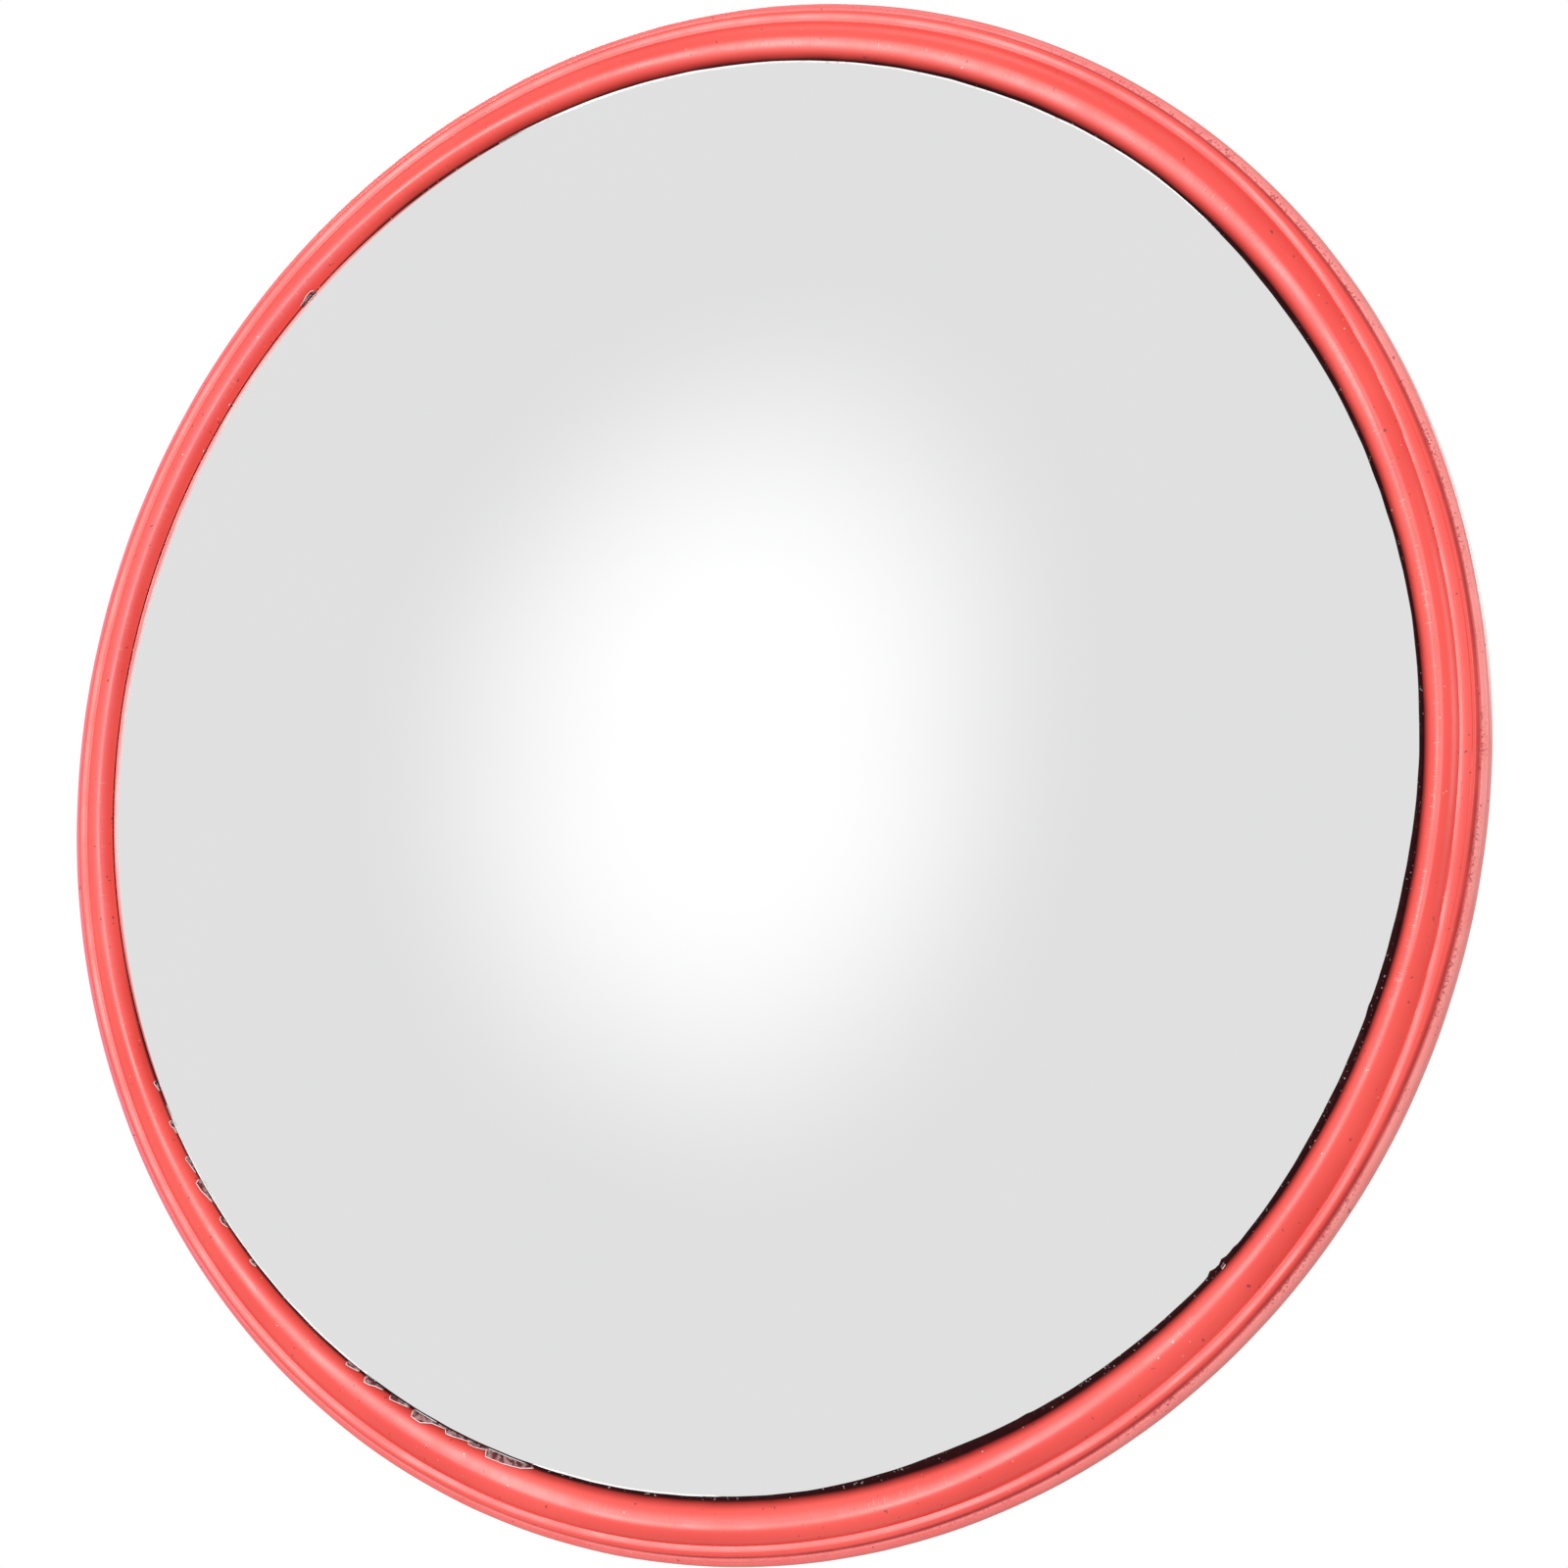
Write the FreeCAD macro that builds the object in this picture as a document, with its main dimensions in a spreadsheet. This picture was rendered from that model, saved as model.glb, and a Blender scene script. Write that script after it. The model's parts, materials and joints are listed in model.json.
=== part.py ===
"""Wall-mounted traffic convex mirror with a two-axis bracket, in millimetres.

The wall is the plane y = 0, the mirror faces -Y and +Z is up. The origin is the centre of the wall plate's back.
From the wall outwards: wall plate and ears, the upright pan bolt, the arm, the cross-wise tilt bolt, the yoke, and
the mirror head. Head pieces are drawn in a local frame whose Z axis is the mirror's own axis, pointing forwards,
with z = 0 at the back of the edge trim. Pivot pieces are drawn with local Z along their bolt.
"""

import FreeCAD, Part
import math
import operator
import os

import Sketcher

DRIVING_SIZES = {
    # edge trim, section measured from the mirror's axis and from the trim's back
    "trim_outer_radius": 300.0,
    "trim_back_corner": 3.0,
    "trim_wall_top": 4.4,
    "trim_lip_round": 2.2,
    "trim_dip_radius": 296.5,
    "trim_dip_height": 6.5,
    "trim_ridge_foot_height": 7.9,
    "trim_ridge_round": 1.6,
    "trim_ridge_radius": 294.4,
    "trim_ridge_height": 9.5,
    "trim_groove_radius": 291.4,
    "trim_groove_height": 9.8,
    "trim_crest_radius": 284.5,
    "trim_crest_height": 14.0,
    "trim_bead_outer_round": 7.8,
    "trim_bead_inner_round": 11.6,
    "trim_inner_radius": 277.0,
    "trim_inner_edge": 0.3,
    "trim_floor_radius": 293.5,
    "trim_rear_leg_radius": 284.5,
    "trim_rear_leg": 2.5,
    # clamped flange: shell, seal and mirror lie on each other inside the trim
    "flange_radius": 293.0,
    "shell_wall": 2.5,
    "seal_thickness": 1.0,
    "seal_inner_radius": 286.5,
    "mirror_sheet": 2.0,
    # mirror dome
    "dome_radius": 286.0,
    "dome_curvature": 900.0,
    # back shell
    "shell_depth": 55.0,
    "shell_seat_radius": 281.0,
    "shell_shoulder_radius": 264.0,
    "shell_shoulder_depth": 16.0,
    "shell_curvature": 500.0,
    "shell_step_radius": 112.0,
    "shell_step_depth": 49.5,
    "shell_pad_radius": 104.0,
    "shell_rib_curvature": 320.0,
    "shell_rib_width": 7.0,
    "drain_radius": 4.0,
    "drain_ring_radius": 250.0,
    "drain_turn": 11.25,
    # yoke and what bolts it on
    "yoke_half_width": 55.0,
    "yoke_corner": 10.0,
    "yoke_thickness": 4.0,
    "gasket_thickness": 2.0,
    "stiffener_half_width": 60.0,
    "stiffener_thickness": 3.0,
    "yoke_hole_half_spacing": 40.0,
    "yoke_hole_radius": 4.5,
    "small_bolt_radius": 4.0,
    "small_bolt_length": 24.0,
    "small_head_corner_radius": 7.5,
    "small_head_height": 5.3,
    "small_washer_radius": 8.0,
    "small_washer_bore": 4.2,
    "small_washer_thickness": 1.6,
    "small_spring_radius": 7.4,
    "small_spring_thickness": 2.0,
    "small_spring_slit": 1.5,
    "weld_nut_height": 6.5,
    "weld_nut_bore": 4.05,
    # pivots, alike for pan and tilt
    "barrel_radius": 15.0,
    "barrel_length": 50.0,
    "bush_radius": 9.0,
    "bush_bore": 6.05,
    "bush_length": 20.0,
    "bush_flange": 2.0,
    "pivot_play": 0.1,
    "ear_thickness": 5.0,
    "ear_half_width": 18.0,
    "ear_hole_radius": 6.1,
    "pivot_bolt_radius": 6.0,
    "pivot_bolt_end": 3.0,
    "pivot_head_corner_radius": 10.4,
    "pivot_head_height": 7.5,
    "pivot_nut_height": 10.8,
    "pivot_washer_radius": 12.0,
    "pivot_washer_bore": 6.5,
    "pivot_washer_thickness": 2.5,
    "pivot_spring_radius": 10.5,
    "pivot_spring_thickness": 3.0,
    "pivot_spring_slit": 2.0,
    # arm and wall plate
    "pan_offset": 40.0,
    "arm_reach": 140.0,
    "yoke_ear_reach": 38.0,
    "arm_half_width": 12.5,
    "arm_wall": 2.0,
    "arm_vent_radius": 3.0,
    "wall_half_width": 55.0,
    "wall_half_height": 70.0,
    "wall_corner": 12.0,
    "wall_thickness": 6.0,
    "wall_hole_radius": 5.5,
    "wall_hole_half_spacing_x": 35.0,
    "wall_hole_half_spacing_z": 50.0,
}

OPERATIONS = {"+": operator.add, "-": operator.sub, "*": operator.mul, "/": operator.truediv}


class Size:
    """A size that carries both its value and the sheet expression that gives it."""

    def __init__(self, text, value):
        self.text = text
        self.value = value

    def __add__(self, other):
        return combined(self, "+", other)

    def __sub__(self, other):
        return combined(self, "-", other)

    def __mul__(self, other):
        return combined(self, "*", other)

    def __truediv__(self, other):
        return combined(self, "/", other)

    def __neg__(self):
        return Size(f"(-{self.text})", -self.value)


def as_size(value):
    return value if isinstance(value, Size) else Size(f"{value}", value)


def combined(left, sign, right):
    left = as_size(left)
    right = as_size(right)
    return Size(f"({left.text} {sign} {right.text})", OPERATIONS[sign](left.value, right.value))


def leg(hypotenuse, other_leg):
    """The remaining leg of a right triangle."""
    square = hypotenuse * hypotenuse - other_leg * other_leg
    return Size(f"sqrt({square.text})", math.sqrt(square.value))


def sine(degrees):
    return Size(f"sin({degrees.text} * 1 deg)", math.sin(math.radians(degrees.value)))


doc = FreeCAD.newDocument("convex_mirror")
sheet = doc.addObject("Spreadsheet::Sheet", "Sizes")
for row, (alias, number) in enumerate(DRIVING_SIZES.items(), start=1):
    sheet.set(f"A{row}", alias)
    sheet.set(f"B{row}", f"{number}")
    sheet.setAlias(f"B{row}", alias)
doc.recompute()


def size(alias):
    return Size(f"Sizes.{alias}", DRIVING_SIZES[alias])


ZERO = as_size(0.0)
SHELL_RIBS = 8

# Stack heights inside the trim, from the trim's back forwards
shell_flange_front = size("trim_rear_leg") + size("shell_wall")
mirror_flange_back = shell_flange_front + size("seal_thickness")
mirror_flange_front = mirror_flange_back + size("mirror_sheet")
# Depths behind the trim's back, from the shell's pad backwards
pad_back = -size("shell_depth")
yoke_front = pad_back - size("gasket_thickness")
yoke_back = yoke_front - size("yoke_thickness")
stiffener_back = pad_back + size("shell_wall")
# Places along the wall's normal
tilt_offset = size("pan_offset") + size("arm_reach")
head_offset = tilt_offset + size("yoke_ear_reach") - yoke_back
# Heights along a pivot bolt, from the middle of the barrel
barrel_end = size("barrel_length") / 2
ear_inner = barrel_end + size("bush_flange") + size("pivot_play")
ear_outer = ear_inner + size("ear_thickness")
washer_outer = ear_outer + size("pivot_washer_thickness")
spring_outer = washer_outer + size("pivot_spring_thickness")
nut_outer = spring_outer + size("pivot_nut_height")

WALL_FRAME = (FreeCAD.Rotation(), ZERO)
PAN_FRAME = (FreeCAD.Rotation(), size("pan_offset"))
TILT_FRAME = (FreeCAD.Rotation(FreeCAD.Vector(0, 1, 0), 90), tilt_offset)
HEAD_FRAME = (FreeCAD.Rotation(FreeCAD.Vector(1, 0, 0), 90), head_offset)


def new_body(name, frame):
    """A body whose local origin stands out from the wall by the frame's offset."""
    rotation, offset = frame
    body = doc.addObject("PartDesign::Body", name)
    body.Label = name
    body.Placement = FreeCAD.Placement(FreeCAD.Vector(0, -offset.value, 0), rotation)
    body.setExpression(".Placement.Base.y", (-offset).text)
    return body


def origin_feature(body, role):
    return next(feature for feature in body.Origin.OriginFeatures if feature.Role == role)


def new_sketch(body, plane, height=None):
    """A sketch on one of the body's own origin planes, or lifted off it along the plane's normal."""
    sketch = body.newObject("Sketcher::SketchObject", f"{body.Label}_sketch")
    sketch.AttachmentSupport = [(origin_feature(body, plane), "")]
    sketch.MapMode = "FlatFace"
    if height is not None:
        sketch.AttachmentOffset = FreeCAD.Placement(FreeCAD.Vector(0, 0, height.value), FreeCAD.Rotation())
        sketch.setExpression(".AttachmentOffset.Base.z", height.text)
    return sketch


def bind(sketch, constraint, value):
    index = sketch.addConstraint(constraint)
    sketch.setExpression(f"Constraints[{index}]", value.text)


def pin_point(sketch, geometry, end, x, y):
    """Hold a point at its distances from the sketch's two axes."""
    if x.value == 0:
        sketch.addConstraint(Sketcher.Constraint("PointOnObject", geometry, end, -2))
    else:
        bind(sketch, Sketcher.Constraint("DistanceX", -1, 1, geometry, end, x.value), x)
    if y.value == 0:
        sketch.addConstraint(Sketcher.Constraint("PointOnObject", geometry, end, -1))
    else:
        bind(sketch, Sketcher.Constraint("DistanceY", -1, 1, geometry, end, y.value), y)


def arc_between(start, finish, radius, anticlockwise):
    """The arc of at most half a turn from start to finish."""
    chord = finish - start
    rise = math.sqrt(max(radius**2 - (chord.Length / 2) ** 2, 0))
    side = FreeCAD.Vector(-chord.y, chord.x, 0).normalize() * (rise if anticlockwise else -rise)
    centre = (start + finish) * 0.5 + side
    first, last = (start, finish) if anticlockwise else (finish, start)
    angles = [math.atan2(point.y - centre.y, point.x - centre.x) for point in (first, last)]
    circle = Part.Circle(centre, FreeCAD.Vector(0, 0, 1), radius)
    return Part.ArcOfCircle(circle, angles[0], angles[1])


def outline(sketch, corners):
    """A closed outline of (x, y) corners.

    A corner (x, y, radius) is reached by an arc instead of a line: anticlockwise, or clockwise where the radius
    is negative.
    """
    corners = [tuple(as_size(value) for value in corner) for corner in corners]
    points = [FreeCAD.Vector(corner[0].value, corner[1].value, 0) for corner in corners]
    ends = []
    for index, corner in enumerate(corners):
        if len(corner) == 2:
            geometry = sketch.addGeometry(Part.LineSegment(points[index - 1], points[index]))
            start, finish = 1, 2
        else:
            anticlockwise = corner[2].value > 0
            radius = corner[2] if anticlockwise else -corner[2]
            arc = arc_between(points[index - 1], points[index], radius.value, anticlockwise)
            geometry = sketch.addGeometry(arc)
            start, finish = (1, 2) if anticlockwise else (2, 1)
            bind(sketch, Sketcher.Constraint("Radius", geometry, radius.value), radius)
        ends.append((geometry, start, finish))
    for index, (geometry, start, finish) in enumerate(ends):
        before, _, before_finish = ends[index - 1]
        sketch.addConstraint(Sketcher.Constraint("Coincident", before, before_finish, geometry, start))
        pin_point(sketch, geometry, finish, corners[index][0], corners[index][1])


def circle(sketch, x, y, radius):
    centre = FreeCAD.Vector(x.value, y.value, 0)
    geometry = sketch.addGeometry(Part.Circle(centre, FreeCAD.Vector(0, 0, 1), radius.value))
    bind(sketch, Sketcher.Constraint("Radius", geometry, radius.value), radius)
    pin_point(sketch, geometry, 3, x, y)


def hexagon(sketch, x, y, corner_radius):
    """A regular hexagon held by the circle through its corners."""
    centre = FreeCAD.Vector(x.value, y.value, 0)
    ring = Part.Circle(centre, FreeCAD.Vector(0, 0, 1), corner_radius.value)
    corners = [ring.value(math.radians(60 * step)) for step in range(6)]
    sides = [sketch.addGeometry(Part.LineSegment(corners[step - 1], corners[step])) for step in range(6)]
    guide = sketch.addGeometry(ring, True)
    bind(sketch, Sketcher.Constraint("Radius", guide, corner_radius.value), corner_radius)
    pin_point(sketch, guide, 3, x, y)
    for step, side in enumerate(sides):
        sketch.addConstraint(Sketcher.Constraint("Coincident", sides[step - 1], 2, side, 1))
        sketch.addConstraint(Sketcher.Constraint("PointOnObject", side, 2, guide))
        if step:
            sketch.addConstraint(Sketcher.Constraint("Equal", sides[0], side))
    sketch.addConstraint(Sketcher.Constraint("Horizontal", guide, 3, sides[0], 2))


def rounded_rectangle(sketch, half_x, half_y, corner):
    flat_x = half_x - corner
    flat_y = half_y - corner
    outline(
        sketch,
        [
            (half_x, flat_y),
            (flat_x, half_y, corner),
            (-flat_x, half_y),
            (-half_x, flat_y, corner),
            (-half_x, -flat_y),
            (-flat_x, -half_y, corner),
            (flat_x, -half_y),
            (half_x, -flat_y, corner),
        ],
    )


def four_circles(sketch, half_x, half_y, radius):
    for x in (-half_x, half_x):
        for y in (-half_y, half_y):
            circle(sketch, x, y, radius)


def pad(body, sketch, length, midplane=False):
    feature = body.newObject("PartDesign::Pad", f"{body.Label}_pad")
    feature.Profile = sketch
    feature.SideType = "Symmetric" if midplane else "One side"
    feature.Length = length.value
    feature.setExpression("Length", length.text)
    doc.recompute()
    return feature


def cut_through(body, sketch, both_ways=True):
    """A pocket through everything, on both sides of its sketch or only against the plane's normal."""
    volume_before = body.Shape.Volume
    feature = body.newObject("PartDesign::Pocket", f"{body.Label}_pocket")
    feature.Profile = sketch
    feature.Type = "ThroughAll"
    feature.SideType = "Symmetric" if both_ways else "One side"
    doc.recompute()
    if body.Shape.Volume >= volume_before:
        raise RuntimeError(f"{feature.Label} cuts nothing")
    return feature


def revolve(body, sketch):
    feature = body.newObject("PartDesign::Revolution", f"{body.Label}_turned")
    feature.Profile = sketch
    feature.ReferenceAxis = (sketch, ["V_Axis"])
    feature.Angle = 360
    doc.recompute()
    return feature


def repeat_round(body, features, count):
    """Copies of the features, evenly spaced around the body's Z axis."""
    pattern = body.newObject("PartDesign::PolarPattern", f"{body.Label}_pattern")
    pattern.Originals = features
    pattern.Axis = (origin_feature(body, "Z_Axis"), [""])
    pattern.Angle = 360
    pattern.Occurrences = count
    body.Tip = pattern
    doc.recompute()


def mirror_over_middle(body, features):
    """The features' mirror image on the other side of the body's XY plane."""
    mirrored = body.newObject("PartDesign::Mirrored", f"{body.Label}_mirrored")
    mirrored.Originals = features
    mirrored.MirrorPlane = (origin_feature(body, "XY_Plane"), [""])
    body.Tip = mirrored
    doc.recompute()


def turned_piece(name, corners):
    """A round piece of the head, from its half section of (radius, height) corners."""
    body = new_body(name, HEAD_FRAME)
    sketch = new_sketch(body, "XZ_Plane")
    outline(sketch, corners)
    revolve(body, sketch)
    return body


def make_edge_trim():
    """Push-on strip: rear leg, channel over the flanges, and a lip, ridge, groove and bead on the front.

    The bead's underside lies on the foot of the mirror's dome.
    """
    lip_height = size("trim_wall_top") + size("trim_lip_round")
    lip_radius = size("trim_outer_radius") - size("trim_lip_round")
    dome = size("dome_curvature")
    foot_rise = leg(dome, size("trim_inner_radius")) - leg(dome, size("dome_radius"))
    contact_height = mirror_flange_front + foot_rise
    turned_piece(
        "edge_trim",
        [
            (size("trim_rear_leg_radius"), ZERO),
            (size("trim_outer_radius") - size("trim_back_corner"), ZERO),
            (size("trim_outer_radius"), size("trim_back_corner"), size("trim_back_corner")),
            (size("trim_outer_radius"), size("trim_wall_top")),
            (lip_radius, lip_height, size("trim_lip_round")),
            (size("trim_dip_radius"), size("trim_dip_height")),
            (size("trim_ridge_radius") + size("trim_ridge_round"), size("trim_ridge_foot_height")),
            (size("trim_ridge_radius"), size("trim_ridge_height"), size("trim_ridge_round")),
            (size("trim_groove_radius"), size("trim_groove_height")),
            (size("trim_crest_radius"), size("trim_crest_height"), size("trim_bead_outer_round")),
            (
                size("trim_inner_radius"),
                contact_height + size("trim_inner_edge"),
                size("trim_bead_inner_round"),
            ),
            (size("trim_inner_radius"), contact_height),
            (size("dome_radius"), mirror_flange_front, -dome),
            (size("trim_floor_radius"), mirror_flange_front),
            (size("trim_floor_radius"), size("trim_rear_leg")),
            (size("trim_rear_leg_radius"), size("trim_rear_leg")),
        ],
    )


def make_mirror():
    """Domed sheet of even thickness with a flat flange."""
    front = size("dome_curvature")
    back = front - size("mirror_sheet")
    centre = mirror_flange_front - leg(front, size("dome_radius"))
    inner_radius = leg(back, mirror_flange_back - centre)
    turned_piece(
        "mirror",
        [
            (ZERO, centre + back),
            (inner_radius, mirror_flange_back, -back),
            (size("flange_radius"), mirror_flange_back),
            (size("flange_radius"), mirror_flange_front),
            (size("dome_radius"), mirror_flange_front),
            (ZERO, centre + front, front),
        ],
    )


def make_seal_ring():
    turned_piece(
        "seal_ring",
        [
            (size("seal_inner_radius"), shell_flange_front),
            (size("flange_radius"), shell_flange_front),
            (size("flange_radius"), mirror_flange_back),
            (size("seal_inner_radius"), mirror_flange_back),
        ],
    )


def add_shell_ribs(body):
    """Low radial ribs on the domed back, fading out at its step and its shoulder."""
    middle_of_wall = size("shell_wall") / 2
    inner = (size("shell_step_radius"), -size("shell_step_depth"))
    outer = (size("shell_shoulder_radius"), -size("shell_shoulder_depth"))
    sketch = new_sketch(body, "XZ_Plane")
    outline(
        sketch,
        [
            inner,
            (*outer, size("shell_rib_curvature")),
            (outer[0], outer[1] + middle_of_wall),
            (inner[0], inner[1] + middle_of_wall, -size("shell_curvature")),
        ],
    )
    rib = pad(body, sketch, size("shell_rib_width"), midplane=True)
    repeat_round(body, [rib], SHELL_RIBS)


def make_back_shell():
    """Moulded dish: flange, steep wall, ribbed domed back, a step to the flat pad, bolt holes and low drains."""
    wall = size("shell_wall")
    shoulder = -size("shell_shoulder_depth")
    step = -size("shell_step_depth")
    body = turned_piece(
        "back_shell",
        [
            (ZERO, pad_back),
            (size("shell_pad_radius"), pad_back),
            (size("shell_step_radius"), step),
            (size("shell_shoulder_radius"), shoulder, size("shell_curvature")),
            (size("shell_seat_radius"), size("trim_rear_leg")),
            (size("flange_radius"), size("trim_rear_leg")),
            (size("flange_radius"), shell_flange_front),
            (size("shell_seat_radius"), shell_flange_front),
            (size("shell_shoulder_radius"), shoulder + wall),
            (size("shell_step_radius"), step + wall, -size("shell_curvature")),
            (size("shell_pad_radius"), pad_back + wall),
            (ZERO, pad_back + wall),
        ],
    )
    add_shell_ribs(body)
    holes = new_sketch(body, "XY_Plane")
    spacing = size("yoke_hole_half_spacing")
    four_circles(holes, spacing, spacing, size("yoke_hole_radius"))
    drain_x = size("drain_ring_radius") * sine(size("drain_turn"))
    drain_y = leg(size("drain_ring_radius"), drain_x)
    circle(holes, -drain_x, -drain_y, size("drain_radius"))
    circle(holes, drain_x, -drain_y, size("drain_radius"))
    body.Tip = cut_through(body, holes)


def drilled_square(name, half_width, back, thickness):
    """A rounded square plate across the mirror's axis, drilled for the yoke bolts."""
    body = new_body(name, HEAD_FRAME)
    sketch = new_sketch(body, "XY_Plane", back)
    rounded_rectangle(sketch, half_width, half_width, size("yoke_corner"))
    spacing = size("yoke_hole_half_spacing")
    four_circles(sketch, spacing, spacing, size("yoke_hole_radius"))
    pad(body, sketch, thickness)


def ring_pad(body, back, thickness, place, outer_radius, bore, six_sided):
    """A washer-like or, where six_sided, a nut-like pad; a bore of None leaves it solid."""
    sketch = new_sketch(body, "XY_Plane", back)
    draw = hexagon if six_sided else circle
    draw(sketch, place, place, outer_radius)
    if bore is not None:
        circle(sketch, place, place, bore)
    return pad(body, sketch, thickness)


def slit(body, place, reach, width):
    """The radial gap of a spring washer, on its +X side."""
    sketch = new_sketch(body, "XY_Plane")
    outline(
        sketch,
        [
            (place, place - width / 2),
            (place + reach, place - width / 2),
            (place + reach, place + width / 2),
            (place, place + width / 2),
        ],
    )
    return cut_through(body, sketch)


def make_yoke_fasteners():
    """Four sets of bolt, spring washer, washer and weld nut, one node for each kind."""
    place = size("yoke_hole_half_spacing")
    washer_back = yoke_back - size("small_washer_thickness")
    spring_back = washer_back - size("small_spring_thickness")
    head_back = spring_back - size("small_head_height")

    body = new_body("yoke_bolts", HEAD_FRAME)
    head = ring_pad(
        body, head_back, size("small_head_height"), place, size("small_head_corner_radius"), None, True
    )
    shank = ring_pad(body, spring_back, size("small_bolt_length"), place, size("small_bolt_radius"), None, False)
    repeat_round(body, [head, shank], 4)

    body = new_body("yoke_washers", HEAD_FRAME)
    washer = ring_pad(
        body,
        washer_back,
        size("small_washer_thickness"),
        place,
        size("small_washer_radius"),
        size("small_washer_bore"),
        False,
    )
    repeat_round(body, [washer], 4)

    body = new_body("yoke_spring_washers", HEAD_FRAME)
    spring = ring_pad(
        body,
        spring_back,
        size("small_spring_thickness"),
        place,
        size("small_spring_radius"),
        size("small_washer_bore"),
        False,
    )
    gap = slit(body, place, size("small_washer_radius"), size("small_spring_slit"))
    repeat_round(body, [spring, gap], 4)

    body = new_body("weld_nuts", HEAD_FRAME)
    nut = ring_pad(
        body,
        stiffener_back + size("stiffener_thickness"),
        size("weld_nut_height"),
        place,
        size("small_head_corner_radius"),
        size("weld_nut_bore"),
        True,
    )
    repeat_round(body, [nut], 4)


def make_ears(name, frame, root):
    """Two parallel ears around a pivot bolt, running from their welded root at y = root to a round end."""
    body = new_body(name, frame)
    sketch = new_sketch(body, "XY_Plane", ear_inner)
    half = size("ear_half_width")
    tip = -half if root.value > 0 else half
    outline(
        sketch,
        [
            (-half, root),
            (-half, ZERO),
            (ZERO, tip, -tip),
            (half, ZERO, -tip),
            (half, root),
        ],
    )
    circle(sketch, ZERO, ZERO, size("ear_hole_radius"))
    ear = pad(body, sketch, size("ear_thickness"))
    mirror_over_middle(body, [ear])


def make_pivot(kind, frame):
    """The barrel, its two flanged bushes, and the bolt, nut and washers of one pivot."""
    body = new_body(f"{kind}_barrel", frame)
    sketch = new_sketch(body, "XY_Plane")
    circle(sketch, ZERO, ZERO, size("barrel_radius"))
    circle(sketch, ZERO, ZERO, size("bush_radius"))
    pad(body, sketch, size("barrel_length"), midplane=True)

    body = new_body(f"{kind}_bushes", frame)
    sketch = new_sketch(body, "XZ_Plane")
    flange_end = barrel_end + size("bush_flange")
    outline(
        sketch,
        [
            (size("bush_bore"), flange_end - size("bush_length")),
            (size("bush_radius"), flange_end - size("bush_length")),
            (size("bush_radius"), barrel_end),
            (size("barrel_radius"), barrel_end),
            (size("barrel_radius"), flange_end),
            (size("bush_bore"), flange_end),
        ],
    )
    bush = revolve(body, sketch)
    mirror_over_middle(body, [bush])

    body = new_body(f"{kind}_bolt", frame)
    corner_radius = size("pivot_head_corner_radius")
    ring_pad(body, washer_outer, size("pivot_head_height"), ZERO, corner_radius, None, True)
    bolt_end = -(nut_outer + size("pivot_bolt_end"))
    ring_pad(body, bolt_end, washer_outer - bolt_end, ZERO, size("pivot_bolt_radius"), None, False)

    body = new_body(f"{kind}_nut", frame)
    bore = size("pivot_bolt_radius")
    ring_pad(body, -nut_outer, size("pivot_nut_height"), ZERO, corner_radius, bore, True)

    body = new_body(f"{kind}_washers", frame)
    bore = size("pivot_washer_bore")
    washer = ring_pad(
        body, ear_outer, size("pivot_washer_thickness"), ZERO, size("pivot_washer_radius"), bore, False
    )
    mirror_over_middle(body, [washer])

    body = new_body(f"{kind}_spring_washer", frame)
    spring_radius = size("pivot_spring_radius")
    ring_pad(body, -spring_outer, size("pivot_spring_thickness"), ZERO, spring_radius, bore, False)
    slit(body, ZERO, size("pivot_washer_radius"), size("pivot_spring_slit"))


def make_arm_tube():
    """Square tube from barrel to barrel, its ends coped to fit round them, with a vent hole underneath."""
    body = new_body("arm_tube", PAN_FRAME)
    section = new_sketch(body, "XZ_Plane")
    for half in (size("arm_half_width"), size("arm_half_width") - size("arm_wall")):
        outline(section, [(-half, -half), (half, -half), (half, half), (-half, half)])
    pad(body, section, size("arm_reach"))
    pan_cope = new_sketch(body, "XY_Plane")
    circle(pan_cope, ZERO, ZERO, size("barrel_radius"))
    cut_through(body, pan_cope)
    tilt_cope = new_sketch(body, "YZ_Plane")
    circle(tilt_cope, -size("arm_reach"), ZERO, size("barrel_radius"))
    cut_through(body, tilt_cope)
    vent = new_sketch(body, "XY_Plane")
    circle(vent, ZERO, -size("arm_reach") / 2, size("arm_vent_radius"))
    cut_through(body, vent, both_ways=False)


def make_wall_plate():
    body = new_body("wall_plate", WALL_FRAME)
    sketch = new_sketch(body, "XZ_Plane")
    rounded_rectangle(sketch, size("wall_half_width"), size("wall_half_height"), size("wall_corner"))
    spacing_x = size("wall_hole_half_spacing_x")
    spacing_z = size("wall_hole_half_spacing_z")
    four_circles(sketch, spacing_x, spacing_z, size("wall_hole_radius"))
    pad(body, sketch, size("wall_thickness"))


def check_and_write():
    """Stop on any failed object or bad shape, then write one STEP file for each body."""
    doc.recompute()
    for obj in doc.Objects:
        if "Invalid" in obj.State or "Error" in obj.State:
            raise RuntimeError(f"{obj.Label} failed: {obj.State}")
    bodies = [obj for obj in doc.Objects if obj.TypeId == "PartDesign::Body"]
    for body in bodies:
        if body.Shape.isNull() or not body.Shape.isValid():
            raise RuntimeError(f"{body.Label} has no valid shape")
    os.makedirs("parts", exist_ok=True)
    for body in bodies:
        body.Shape.exportStep(f"parts/{body.Label}.step")
        box = body.Shape.BoundBox
        print(
            f"{body.Label:22s} {len(body.Shape.Solids)} solids {body.Shape.Volume / 1000:9.2f} cm3 "
            f"x {box.XMin:.1f}..{box.XMax:.1f} y {box.YMin:.1f}..{box.YMax:.1f} z {box.ZMin:.1f}..{box.ZMax:.1f}"
        )


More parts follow.
